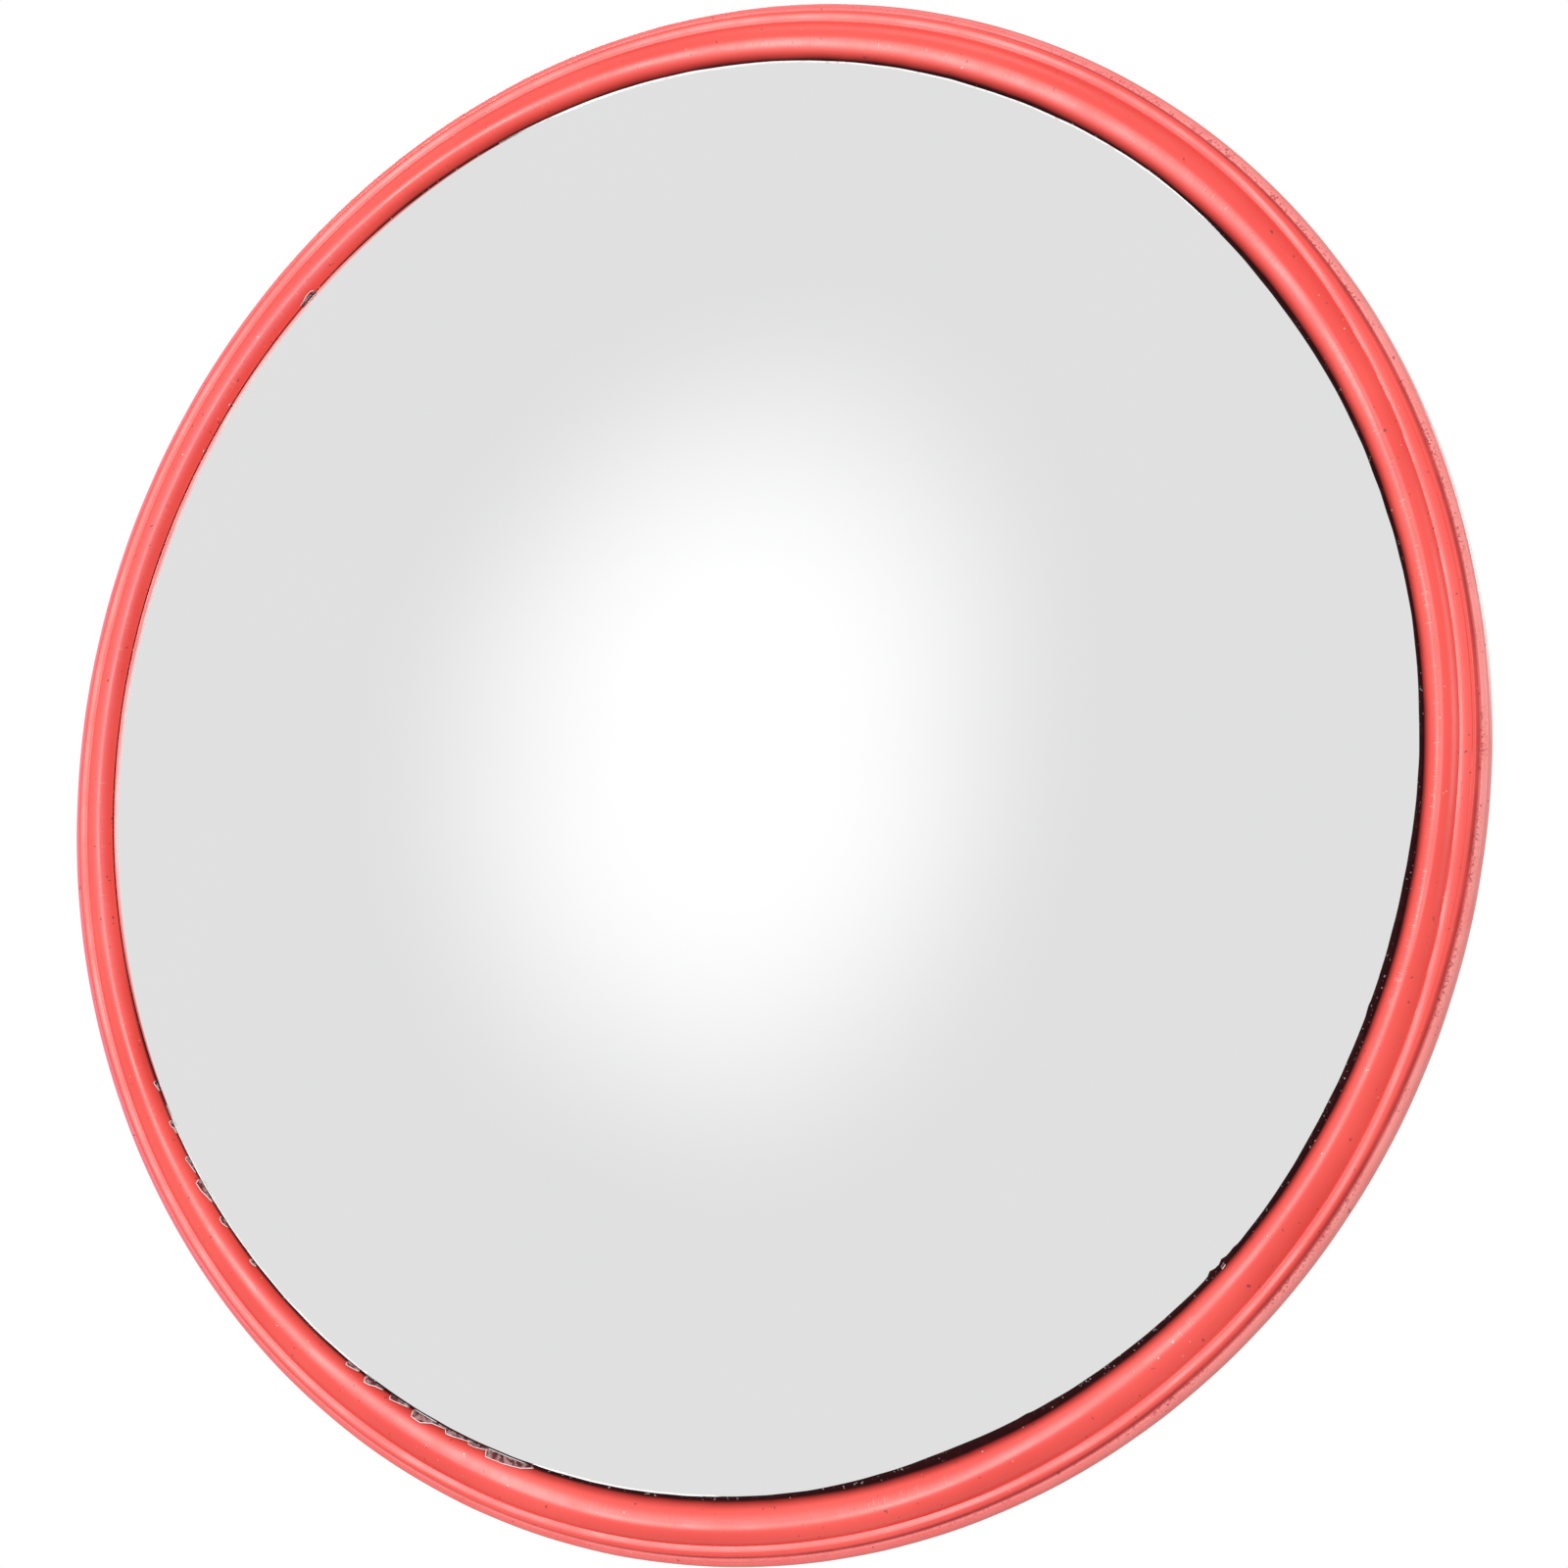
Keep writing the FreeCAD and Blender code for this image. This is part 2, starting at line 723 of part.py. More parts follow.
make_wall_plate()
make_ears("wall_ears", PAN_FRAME, size("pan_offset") - size("wall_thickness"))
make_pivot("pan", PAN_FRAME)
make_arm_tube()
make_pivot("tilt", TILT_FRAME)
make_ears("yoke_ears", TILT_FRAME, -size("yoke_ear_reach"))
drilled_square("yoke_plate", size("yoke_half_width"), yoke_back, size("yoke_thickness"))
drilled_square("yoke_gasket", size("yoke_half_width"), yoke_front, size("gasket_thickness"))
drilled_square("stiffener_plate", size("stiffener_half_width"), stiffener_back, size("stiffener_thickness"))
make_yoke_fasteners()
make_back_shell()
make_seal_ring()
make_mirror()
make_edge_trim()
check_and_write()
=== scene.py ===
import json
import math
import random

import bmesh
import bpy
from mathutils import Matrix, Vector, noise


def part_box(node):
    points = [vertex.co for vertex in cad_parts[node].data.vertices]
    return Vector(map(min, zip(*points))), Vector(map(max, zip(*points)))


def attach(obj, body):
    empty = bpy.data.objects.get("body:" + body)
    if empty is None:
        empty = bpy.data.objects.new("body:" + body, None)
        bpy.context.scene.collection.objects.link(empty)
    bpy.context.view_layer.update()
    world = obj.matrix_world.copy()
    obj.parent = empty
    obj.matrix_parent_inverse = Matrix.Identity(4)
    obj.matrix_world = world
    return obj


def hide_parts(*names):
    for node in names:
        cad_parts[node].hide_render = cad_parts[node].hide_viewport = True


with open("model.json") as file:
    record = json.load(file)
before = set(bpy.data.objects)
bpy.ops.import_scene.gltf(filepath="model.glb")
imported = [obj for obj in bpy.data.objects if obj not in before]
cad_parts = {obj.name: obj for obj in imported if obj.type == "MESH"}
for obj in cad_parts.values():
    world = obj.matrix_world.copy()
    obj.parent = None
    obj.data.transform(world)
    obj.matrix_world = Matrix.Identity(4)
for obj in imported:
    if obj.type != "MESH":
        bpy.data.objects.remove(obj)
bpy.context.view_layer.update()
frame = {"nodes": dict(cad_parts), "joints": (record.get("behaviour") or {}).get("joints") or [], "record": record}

MM = 0.001
FULL_TURN = 2 * math.pi

# The head's local frame: its axis is the line x = z = 0, and "front" is measured forwards (towards -Y) from
# the back of the edge trim.
TRIM_BACK_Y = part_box("edge_trim")[1].y
TRIM_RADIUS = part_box("edge_trim")[1].x
TRIM_FRONT = TRIM_BACK_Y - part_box("edge_trim")[0].y
MIRROR_FLANGE_BACK = TRIM_BACK_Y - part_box("mirror")[1].y
FLANGE_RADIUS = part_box("mirror")[1].x
MIRROR_SHEET = 2.0 * MM
FLANGE_FRONT = MIRROR_FLANGE_BACK + MIRROR_SHEET
DOME_CURVATURE = 900 * MM
DOME_FOOT = 286.0 * MM
CREST_RADIUS = 284.5 * MM
CREST_HEIGHT = TRIM_FRONT
LIP_RADIUS = 277.0 * MM

PAN_AXIS_Y = frame["joints"][0]["pos_m"][1]
TILT_AXIS_Y = frame["joints"][1]["pos_m"][1]

CORAL = (0.93, 0.092, 0.074)
CORAL_DEEP = (0.87, 0.072, 0.058)
# Painted shade: its colours in the corner line and at the lip, and how far from the lip it reaches and how fast it
# fades.
CORNER_SHADE_RED = (0.46, 0.035, 0.04)
SHADE_BLACK = (0.030, 0.005, 0.006)
LIP_SHADE_WIDTH = 4.6 * MM
LIP_SHADE_POWER = 0.8

# How far the trim's soft inner lip strays outwards round the ring, in mm: the shares of the angle's sine and
# cosine, and of twice the angle's cosine and sine.
LIP_SWING = (0.54, -1.04, 1.09, -0.88)


# ---------------------------------------------------------------- material kit


class Nodes:
    """A node tree, with short calls for the nodes used here."""

    def __init__(self, tree, coordinate):
        self.tree = tree
        self.place = self.add("ShaderNodeTexCoord").outputs[coordinate]

    def put(self, socket, value):
        """Link a socket to another one, or set its value."""
        if isinstance(value, bpy.types.NodeSocket):
            self.tree.links.new(value, socket)
        else:
            socket.default_value = value

    def add(self, kind, *values, **settings):
        """Add a node with its settings, and put values in its first sockets."""
        node = self.tree.nodes.new(kind)
        for name, value in settings.items():
            setattr(node, name, value)
        for socket, value in zip(node.inputs, values):
            self.put(socket, value)
        return node

    def math(self, operation, *values):
        return self.add("ShaderNodeMath", *values, operation=operation).outputs[0]

    def vector(self, operation, *values):
        return self.add("ShaderNodeVectorMath", *values, operation=operation).outputs

    def stretch(self, vector, x, y, z):
        return self.vector("MULTIPLY", vector, (x, y, z))[0]

    def axes(self, vector):
        return self.add("ShaderNodeSeparateXYZ", vector).outputs

    def noise(self, scale, detail=2.0, vector=None):
        node = self.add("ShaderNodeTexNoise", vector or self.place)
        self.put(node.inputs["Scale"], scale)
        self.put(node.inputs["Detail"], detail)
        return node.outputs["Fac"]

    def step(self, value, low, high, to_low=0.0, to_high=1.0):
        """A smooth step from to_low at low to to_high at high."""
        values = (value, low, high, to_low, to_high)
        return self.add("ShaderNodeMapRange", *values, interpolation_type="SMOOTHSTEP").outputs[0]

    def cloud(self, scale, detail, *limits):
        """A smooth step of noise, with the limits that step takes."""
        return self.step(self.noise(scale, detail), *limits)

    def band(self, value, middle, half_width):
        """One at the middle, fading to nothing at half_width on both sides."""
        distance = self.math("ABSOLUTE", self.math("SUBTRACT", value, middle))
        return self.step(distance, 0.0, half_width, 1.0, 0.0)

    def mix(self, factor, first, second):
        node = self.add("ShaderNodeMix", data_type="RGBA")
        for index, value in ((0, factor), (6, first), (7, second)):
            self.put(node.inputs[index], (*value, 1.0) if isinstance(value, tuple) else value)
        return node.outputs[2]

    def total(self, first, *others):
        """The sum of several values."""
        for other in others:
            first = self.math("ADD", first, other)
        return first

    def times(self, first, *others):
        """The product of several values."""
        for other in others:
            first = self.math("MULTIPLY", first, other)
        return first


class Finish(Nodes):
    """A Principled material."""

    def __init__(self, name, base, roughness, metallic=0.0, **sockets):
        self.material = bpy.data.materials.new(name)
        self.material.use_nodes = True
        super().__init__(self.material.node_tree, "Object")
        self.shader = self.tree.nodes["Principled BSDF"]
        self.shade(Base_Color=(*base, 1.0), Roughness=roughness, Metallic=metallic, **sockets)

    def shade(self, **sockets):
        """Set the shader's sockets, or link them."""
        for socket, value in sockets.items():
            self.put(self.shader.inputs[socket.replace("_", " ")], value)

    def bump(self, height, distance, strength=1.0):
        """Add a bump over those already made."""
        node = self.add("ShaderNodeBump")
        for name, value in (("Strength", strength), ("Distance", distance), ("Height", height)):
            self.put(node.inputs[name], value)
        normal = self.shader.inputs["Normal"]
        if normal.is_linked:
            self.put(node.inputs["Normal"], normal.links[0].from_socket)
        self.put(normal, node.outputs["Normal"])

    def polar(self):
        """Distance from the head's axis, forward distance, and a vector that only turns with the angle."""
        flat = self.stretch(self.place, 1.0, 0.0, 1.0)
        forward = self.math("SUBTRACT", TRIM_BACK_Y, self.axes(self.place)["Y"])
        return self.vector("LENGTH", flat)["Value"], forward, self.vector("NORMALIZE", flat)[0]


def make_trim_finish():
    """Soft coral PVC: cloudy, with a chalky outer lip and scuffs, and painted light: sheen on the outer lip, shade
    in the corner line and on the inner slope, a highlight on that slope and glints on the bead's creases.
    """
    finish = Finish("trim_pvc", CORAL, 0.3, IOR=1.5)
    radius, forward, turn = finish.polar()
    across_x, _, across_z = finish.axes(turn)
    right = finish.step(across_x, 0.1, 0.95)
    left = finish.step(across_x, -0.55, -0.98)
    colour = finish.mix(finish.cloud(14.0, 3.0, 0.35, 0.7), CORAL, CORAL_DEEP)

    # The outer lip's pale colour is partly chalky wear and partly painted sheen: lighter on the right, where the
    # light falls, with a painted purple reflection on the left.
    chalk_and_sheen = finish.mix(right, (0.90, 0.17, 0.16), (0.91, 0.30, 0.28))
    chalk_and_sheen = finish.mix(left, chalk_and_sheen, (0.82, 0.20, 0.27))
    outside = finish.step(radius, TRIM_RADIUS - 3.6 * MM, TRIM_RADIUS - 3.1 * MM)
    cover = finish.times(outside, finish.cloud(60.0, 5.0, 0.25, 0.7, 0.72, 1.0))
    colour = finish.mix(cover, colour, chalk_and_sheen)
    # A painted shade line, broken up by noise, in the corner between the outer lip and the ridge.
    corner = finish.band(radius, TRIM_RADIUS - 3.55 * MM, 0.55 * MM)
    corner = finish.times(corner, finish.cloud(50.0, 2.0, 0.3, 0.6, 0.35, 0.75))
    colour = finish.mix(corner, colour, CORNER_SHADE_RED)

    scuffed = finish.band(radius, TRIM_RADIUS - 2.3 * MM, 2.0 * MM)
    scuffed = finish.times(
        scuffed,
        finish.step(across_x, -0.1, 0.9, 0.25, 1.0),
        finish.cloud(28.0, 2.0, 0.35, 0.6),
        finish.cloud(1150.0, 2.0, 0.53, 0.62),
    )
    colour = finish.mix(finish.times(scuffed, 0.8), colour, (0.40, 0.06, 0.065))

    swing = finish.total(
        finish.times(across_z, LIP_SWING[0] * MM),
        finish.times(across_x, LIP_SWING[1] * MM),
        finish.times(across_x, across_x, 2 * LIP_SWING[2] * MM),
        finish.times(across_x, across_z, 2 * LIP_SWING[3] * MM),
    )
    from_lip = finish.math("SUBTRACT", finish.math("SUBTRACT", radius, swing), LIP_RADIUS - LIP_SWING[2] * MM)
    # Painted shade on the bead's inner slope: darkest at the lip and on the shaded side of the ring, patchy, and
    # duller there too.
    fall = finish.math("POWER", finish.math("MAXIMUM", from_lip, 0.0), LIP_SHADE_POWER)
    lip_shade = finish.step(fall, 0.0, LIP_SHADE_WIDTH**LIP_SHADE_POWER, 1.0, 0.0)
    reach = finish.step(across_x, -1.0, 0.15, 0.30, 0.97)
    patchy = finish.cloud(45.0, 4.0, 0.25, 0.7, 0.82, 1.0)
    above = finish.step(forward, 10.0 * MM, 10.8 * MM)
    toward_lit_side = finish.total(finish.times(across_x, -0.94), finish.times(across_z, 0.342))
    shaded_side = finish.step(toward_lit_side, 0.76, 0.90, 1.0, 0.0)
    lit_side = finish.math("SUBTRACT", 1.0, shaded_side)
    # A painted highlight: pale pink on the inner slope on the lit side of the ring, a little rougher there.
    slope_highlight = finish.times(lit_side, finish.band(from_lip, 5.0 * MM, 4.5 * MM), above)
    colour = finish.mix(finish.times(slope_highlight, 0.5), colour, (0.93, 0.20, 0.21))
    lip_shade = finish.times(lip_shade, reach, patchy, above, shaded_side)
    colour = finish.mix(lip_shade, colour, SHADE_BLACK)
    # A thin painted shade line right at the lip, on the shaded side of the ring.
    edge = finish.times(finish.step(from_lip, 0.1 * MM, 0.9 * MM, 0.75, 0.0), above, shaded_side)
    colour = finish.mix(edge, colour, SHADE_BLACK)
    matt = finish.times(finish.step(from_lip, 1.0 * MM, 4.5 * MM, 0.98, 0.0), above)
    matt = finish.math("MAXIMUM", lip_shade, matt)
    finish.shade(Specular_IOR_Level=finish.math("MULTIPLY_ADD", matt, -0.48, 0.5))

    # Fine creases across the bead, bumped, with painted glints in a pale colour on them, mostly on the right.
    round_ring = finish.stretch(turn, TRIM_RADIUS, TRIM_RADIUS, TRIM_RADIUS)
    on_bead = finish.band(radius, CREST_RADIUS - 1.6 * MM, 2.4 * MM)
    creases_and_glints = finish.step(finish.noise(1100.0, 2.0, round_ring), 0.54, 0.66)
    to_right = finish.step(across_x, -0.6, 0.9, 0.35, 1.0)
    patches = finish.times(finish.cloud(22.0, 2.0, 0.36, 0.54), to_right)
    creases_and_glints = finish.times(creases_and_glints, patches, on_bead, finish.cloud(420.0, 2.0, 0.42, 0.58))
    colour = finish.mix(finish.times(creases_and_glints, 0.75), colour, (0.95, 0.45, 0.41))
    speck = finish.cloud(520.0, 1.0, 0.73, 0.765)
    colour = finish.mix(finish.times(speck, 0.75), colour, (0.22, 0.03, 0.035))
    mirrored = finish.stretch(finish.place, -1.0, 1.0, 1.0)
    fleck = finish.step(finish.noise(610.0, 1.0, mirrored), 0.78, 0.80)
    fleck = finish.times(fleck, finish.cloud(17.0, 2.0, 0.44, 0.56))
    colour = finish.mix(finish.times(fleck, 0.8), colour, (0.95, 0.62, 0.58))
    finish.shade(Base_Color=colour)

    finish.bump(finish.noise(55.0, 3.0), 0.20 * MM, 0.4)
    finish.bump(creases_and_glints, 0.10 * MM, 0.6)
    finish.bump(scuffed, 0.1 * MM, 0.7)
    rough = finish.cloud(40.0, 4.0, 0.3, 0.7, 0.31, 0.38)
    added = (finish.times(scuffed, 0.3), finish.times(lip_shade, 0.45), finish.times(slope_highlight, 0.06))
    finish.shade(Roughness=finish.total(rough, *added))
    return finish.material


def make_mirror_finish():
    """Mirrored plastic, with faint haze, dust and a hardly visible waviness."""
    finish = Finish("mirror_face", (0.92, 0.92, 0.92), 0.03, metallic=1.0)
    haze = finish.cloud(9.0, 4.0, 0.35, 0.75)
    finish.shade(Base_Color=finish.mix(haze, (0.924, 0.924, 0.925), (0.916, 0.917, 0.918)))
    finish.shade(Roughness=finish.step(haze, 0.0, 1.0, 0.02, 0.05))
    finish.bump(finish.noise(7.0, 1.0), 0.05 * MM, 0.3)
    return finish.material


def make_shell_finish():
    """Moulded coral plastic: satin texture, faint flow marks from the middle, and dust that ran down it."""
    finish = Finish("shell_plastic", CORAL_DEEP, 0.42, IOR=1.48)
    radius, _, turn = finish.polar()
    cloud = finish.cloud(5.0, 3.0, 0.3, 0.75)
    colour = finish.mix(cloud, (0.86, 0.075, 0.060), (0.80, 0.062, 0.050))
    flow = finish.noise(3.5, 3.0, finish.stretch(turn, 9.0, 9.0, 9.0))
    colour = finish.mix(finish.step(flow, 0.45, 0.8, 0.0, 0.22), colour, (0.90, 0.12, 0.10))
    streak = finish.noise(9.0, 4.0, finish.stretch(finish.place, 9.0, 1.0, 0.9))
    streak = finish.step(streak, 0.52, 0.75, 0.0, 0.12)
    colour = finish.mix(streak, colour, (0.66, 0.30, 0.26))
    near_rim = finish.times(finish.step(radius, 0.258, 0.284, 0.0, 0.30), finish.cloud(26.0, 5.0, 0.35, 0.7))
    colour = finish.mix(near_rim, colour, (0.50, 0.17, 0.14))
    speck = finish.cloud(420.0, 1.0, 0.74, 0.78)
    colour = finish.mix(finish.times(speck, 0.5), colour, (0.30, 0.06, 0.06))
    finish.shade(Base_Color=colour)
    finish.shade(Roughness=finish.cloud(60.0, 4.0, 0.3, 0.7, 0.34, 0.46))
    finish.bump(finish.noise(1100.0, 2.0), 0.05 * MM, 0.5)
    finish.bump(finish.noise(9.0, 1.0), 0.5 * MM, 0.15)
    return finish.material


def make_black_finish():
    """Black powder coat: orange peel, worn thin on edges, with dust."""
    finish = Finish("black_paint", (0.028, 0.029, 0.031), 0.42)
    edge = finish.add("ShaderNodeAttribute", attribute_name="edge").outputs["Fac"]
    worn = finish.times(edge, finish.cloud(150.0, 5.0, 0.54, 0.62), finish.cloud(20.0, 2.0, 0.45, 0.6))
    chip = finish.times(finish.cloud(230.0, 2.0, 0.70, 0.72), finish.cloud(31.0, 2.0, 0.50, 0.56))
    worn = finish.math("MAXIMUM", worn, chip)
    dust = finish.cloud(35.0, 6.0, 0.45, 0.8, 0.0, 0.18)
    colour = finish.mix(dust, (0.030, 0.031, 0.033), (0.080, 0.078, 0.075))
    finish.shade(Base_Color=finish.mix(worn, colour, (0.34, 0.33, 0.32)))
    finish.shade(Metallic=finish.times(worn, 0.8))
    finish.shade(Roughness=finish.cloud(70.0, 3.0, 0.3, 0.7, 0.34, 0.50))
    finish.bump(finish.noise(900.0, 2.0), 0.05 * MM, 0.5)
    return finish.material


def make_zinc_finish():
    """Zinc plating: bright, faintly yellow and cloudy, with fine turning marks."""
    finish = Finish("zinc", (0.62, 0.63, 0.64), 0.3, metallic=1.0)
    cloud = finish.cloud(160.0, 4.0, 0.35, 0.7)
    finish.shade(Base_Color=finish.mix(cloud, (0.66, 0.665, 0.67), (0.52, 0.515, 0.49)))
    finish.shade(Roughness=finish.cloud(240.0, 4.0, 0.3, 0.7, 0.22, 0.42))
    finish.bump(finish.noise(1600.0, 2.0), 0.03 * MM, 0.5)
    return finish.material


def make_bare_steel_finish():
    """Mill-finish steel with rolling marks and light rust in places."""
    finish = Finish("bare_steel", (0.42, 0.42, 0.42), 0.45, metallic=0.9)
    rust = finish.cloud(60.0, 6.0, 0.58, 0.75, 0.0, 0.6)
    finish.shade(Base_Color=finish.mix(rust, (0.42, 0.42, 0.42), (0.22, 0.11, 0.06)))
    rolled = finish.noise(40.0, 4.0, finish.stretch(finish.place, 1.0, 1.0, 22.0))
    finish.shade(Roughness=finish.step(rolled, 0.3, 0.7, 0.36, 0.58))
    return finish.material


def make_nylon_finish():
    """Natural nylon, slightly translucent looking, with a moulded texture."""
    finish = Finish("nylon", (0.74, 0.72, 0.66), 0.42, Subsurface_Weight=0.15)
    stain = finish.cloud(120.0, 4.0, 0.4, 0.75)
    finish.shade(Base_Color=finish.mix(stain, (0.76, 0.74, 0.68), (0.62, 0.58, 0.50)))
    finish.bump(finish.noise(900.0, 2.0), 0.04 * MM, 0.5)
    return finish.material


def make_rubber_finish():
    """Black foam rubber with open pores at the cut edges."""
    finish = Finish("gasket_rubber", (0.03, 0.03, 0.03), 0.85)
    pores = finish.cloud(1400.0, 2.0, 0.55, 0.7)
    finish.shade(Base_Color=finish.mix(pores, (0.045, 0.045, 0.045), (0.012, 0.012, 0.012)))
    finish.bump(pores, 0.15 * MM, 0.8)
    return finish.material


def make_film_finish():
    """Thin clear protective film, dirty and crumpled."""
    finish = Finish("film", (0.45, 0.30, 0.31), 0.3, IOR=1.4)
    crease = finish.cloud(420.0, 4.0, 0.42, 0.60)
    finish.shade(Base_Color=finish.mix(crease, (0.12, 0.03, 0.035), (0.55, 0.30, 0.30)))
    finish.shade(Alpha=finish.step(crease, 0.0, 1.0, 0.40, 0.60))
    finish.bump(finish.noise(600.0, 3.0), 0.3 * MM, 0.8)
    return finish.material


def make_film_edge_finish():
    """The milky white cut and torn edges of the film."""
    finish = Finish("film_edge", (0.95, 0.94, 0.93), 0.35)
    dirt = finish.cloud(300.0, 4.0, 0.56, 0.72, 0.0, 0.6)
    finish.shade(Base_Color=finish.mix(dirt, (0.97, 0.96, 0.95), (0.70, 0.50, 0.48)))
    finish.bump(finish.noise(900.0, 2.0), 0.05 * MM, 0.5)
    return finish.material


def make_gap_shade_finish():
    """A dark strip of painted shade for the gap: nearly black, with a reddish tint, dust and painted glints."""
    finish = Finish("gap_shade", (0.055, 0.006, 0.007), 0.5, Specular_IOR_Level=0.05)
    dust = finish.cloud(260.0, 5.0, 0.45, 0.75, 0.0, 0.5)
    colour = finish.mix(dust, (0.022, 0.003, 0.004), (0.050, 0.009, 0.010))
    glint = finish.times(finish.cloud(850.0, 1.0, 0.66, 0.72), finish.cloud(20.0, 2.0, 0.44, 0.56))
    finish.shade(Base_Color=finish.mix(finish.times(glint, 0.6), colour, (0.50, 0.42, 0.42)))
    finish.shade(Roughness=finish.cloud(120.0, 3.0, 0.3, 0.7, 0.45, 0.6))
    finish.bump(finish.noise(380.0, 3.0), 0.12 * MM, 0.6)
    return finish.material


FINISHES = {
    "trim_pvc": make_trim_finish(),
    "mirror_face": make_mirror_finish(),
    "shell_plastic": make_shell_finish(),
    "black_paint": make_black_finish(),
    "zinc": make_zinc_finish(),
    "bare_steel": make_bare_steel_finish(),
    "nylon": make_nylon_finish(),
    "gasket_rubber": make_rubber_finish(),
}
FILM = make_film_finish()
FILM_EDGE = make_film_edge_finish()
GAP_SHADE = make_gap_shade_finish()
SLOT_OF = {entry["node"]: entry["material_slot"] for entry in frame["record"]["subparts"]}
BODY_OF = {node: body for body, nodes in frame["record"]["behaviour"]["bodies"].items() for node in nodes}

for node, cad_object in frame["nodes"].items():
    cad_object.data.materials.clear()
    cad_object.data.materials.append(FINISHES[SLOT_OF[node]])


# ---------------------------------------------------------------- mesh kit


def add_piece(name, mesh, body, slot, replaced=(), finish=None, sharp_degrees=35):
    """Put a finished mesh in the scene as a piece that rides on a body."""
    piece = bpy.data.objects.new(name, mesh)
    bpy.context.scene.collection.objects.link(piece)
    mesh.materials.clear()
    mesh.materials.append(finish or FINISHES[slot])
    mesh.polygons.foreach_set("use_smooth", [True] * len(mesh.polygons))
    mesh.set_sharp_from_angle(angle=math.radians(sharp_degrees))
    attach(piece, body)
    if replaced:
        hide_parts(*replaced)
    return piece


def mesh_from(name, points, faces):
    mesh = bpy.data.meshes.new(name)
    mesh.from_pydata(points, [], faces)
    mesh.validate()
    mesh.update()
    return mesh


def rounded(corners, steps=6):
    """A closed outline through (x, y, radius) corners in mm, each rounded to its radius."""
    outline = []
    for index, (x, y, radius) in enumerate(corners):
        corner = Vector((x, y))
        before = (Vector(corners[index - 1][:2]) - corner).normalized()
        after = (Vector(corners[(index + 1) % len(corners)][:2]) - corner).normalized()
        half = before.angle(after) / 2
        if radius == 0:
            outline.append(corner)
            continue
        reach = radius / math.tan(half)
        centre = corner + (before + after).normalized() * (radius / math.sin(half))
        first = (corner + before * reach) - centre
        last = (corner + after * reach) - centre
        turn = math.atan2(first.x * last.y - first.y * last.x, first.dot(last))
        count = max(2, round(steps * abs(turn) * (1 + radius)))
        for step in range(count + 1):
            outline.append(centre + Matrix.Rotation(turn * step / count, 2) @ first)
    return outline


def sweep(name, rings, closed=False):
    """Join rings of points, one after the other, into one surface with its ends capped or joined."""
    count = len(rings[0])
    points = [point for ring in rings for point in ring]
    faces = []
    for turn in range(len(rings) if closed else len(rings) - 1):
        here = turn * count
        there = (turn + 1) % len(rings) * count
        for index in range(count):
            following = (index + 1) % count
            faces.append((here + index, there + index, there + following, here + following))
    if not closed:
        faces.append(tuple(range(count)))
        faces.append(tuple(range(len(points) - count, len(points))))
    mesh = mesh_from(name, points, faces)
    tidy = bmesh.new()
    tidy.from_mesh(mesh)
    bmesh.ops.remove_doubles(tidy, verts=tidy.verts, dist=1e-7)
    bmesh.ops.recalc_face_normals(tidy, faces=tidy.faces)
    tidy.to_mesh(mesh)
    tidy.free()
    return mesh


def joined(name, meshes):
    """One mesh from several."""
    whole = bmesh.new()
    for mesh in meshes:
        whole.from_mesh(mesh)
        bpy.data.meshes.remove(mesh)
    result = bpy.data.meshes.new(name)
    whole.to_mesh(result)
    whole.free()
    return result


def on_head(angle, radius, front):
    """A point that far from the head's axis and that far in front of the trim's back."""
    return Vector((radius * math.cos(angle), TRIM_BACK_Y - front, radius * math.sin(angle)))


def lathe(name, ring_at, turns):
    """One surface through the rings that ring_at(angle) gives in a full turn."""
    return sweep(name, [ring_at(FULL_TURN * turn / turns) for turn in range(turns)], closed=True)


def hoop(centre, side, up, radius, sides):
    """Points on a circle round a centre."""
    turns = [FULL_TURN * corner / sides for corner in range(sides)]
    return [centre + (side * math.cos(turn) + up * math.sin(turn)) * radius for turn in turns]


# ---------------------------------------------------------------- mirror head


def ripple(angle, turns, seed):
    """Smooth noise round the ring, from about -1 to 1, with that many waves."""
    place = Vector((math.cos(angle), math.sin(angle), 0)) * turns / FULL_TURN
    return noise.noise(place + Vector((0, 0, seed)))


def smooth_step(value, low, high):
    share = min(max((value - low) / (high - low), 0.0), 1.0)
    return share * share * (3 - 2 * share)


def bump_at(value, middle, width):
    return math.exp(-(((value - middle) / width) ** 2))


def dome_height(radius):
    """How far in front of the trim's back the mirror's face lies at that distance from its axis."""
    rise = math.sqrt(DOME_CURVATURE**2 - radius**2) - math.sqrt(DOME_CURVATURE**2 - DOME_FOOT**2)
    return FLANGE_FRONT + rise


def above_dome(angle, radius, rise):
    """A point that many mm in front of the mirror's face."""
    return on_head(angle, radius, dome_height(radius) + rise * MM)


# The strip's front, in mm: the bead's arcs outside and inside its crest, the ridge's height, and the ridge's
# arcs inside and outside its top.
BEAD_OUTSIDE, BEAD_INSIDE = 7.6, 11.6
RIDGE_HEIGHT = 9.58
RIDGE_INSIDE, RIDGE_OUTSIDE = 11.0, 14.0
RIDGE_TOP = TRIM_RADIUS - 4.9 * MM
PULL_ANGLE = math.radians(272)
HUMP_ANGLE = math.radians(6)


def nearness(angle, middle, core, end):
    """One within core degrees of a middle angle, falling to nothing end degrees away from it."""
    return 1 - smooth_step(abs(math.degrees(math.remainder(angle - middle, FULL_TURN))), core, end)


def blended(first, second, blend):
    """The higher of two heights, with the corner between them rounded off."""
    return 0.5 * (first + second + math.sqrt((first - second) ** 2 + blend**2))


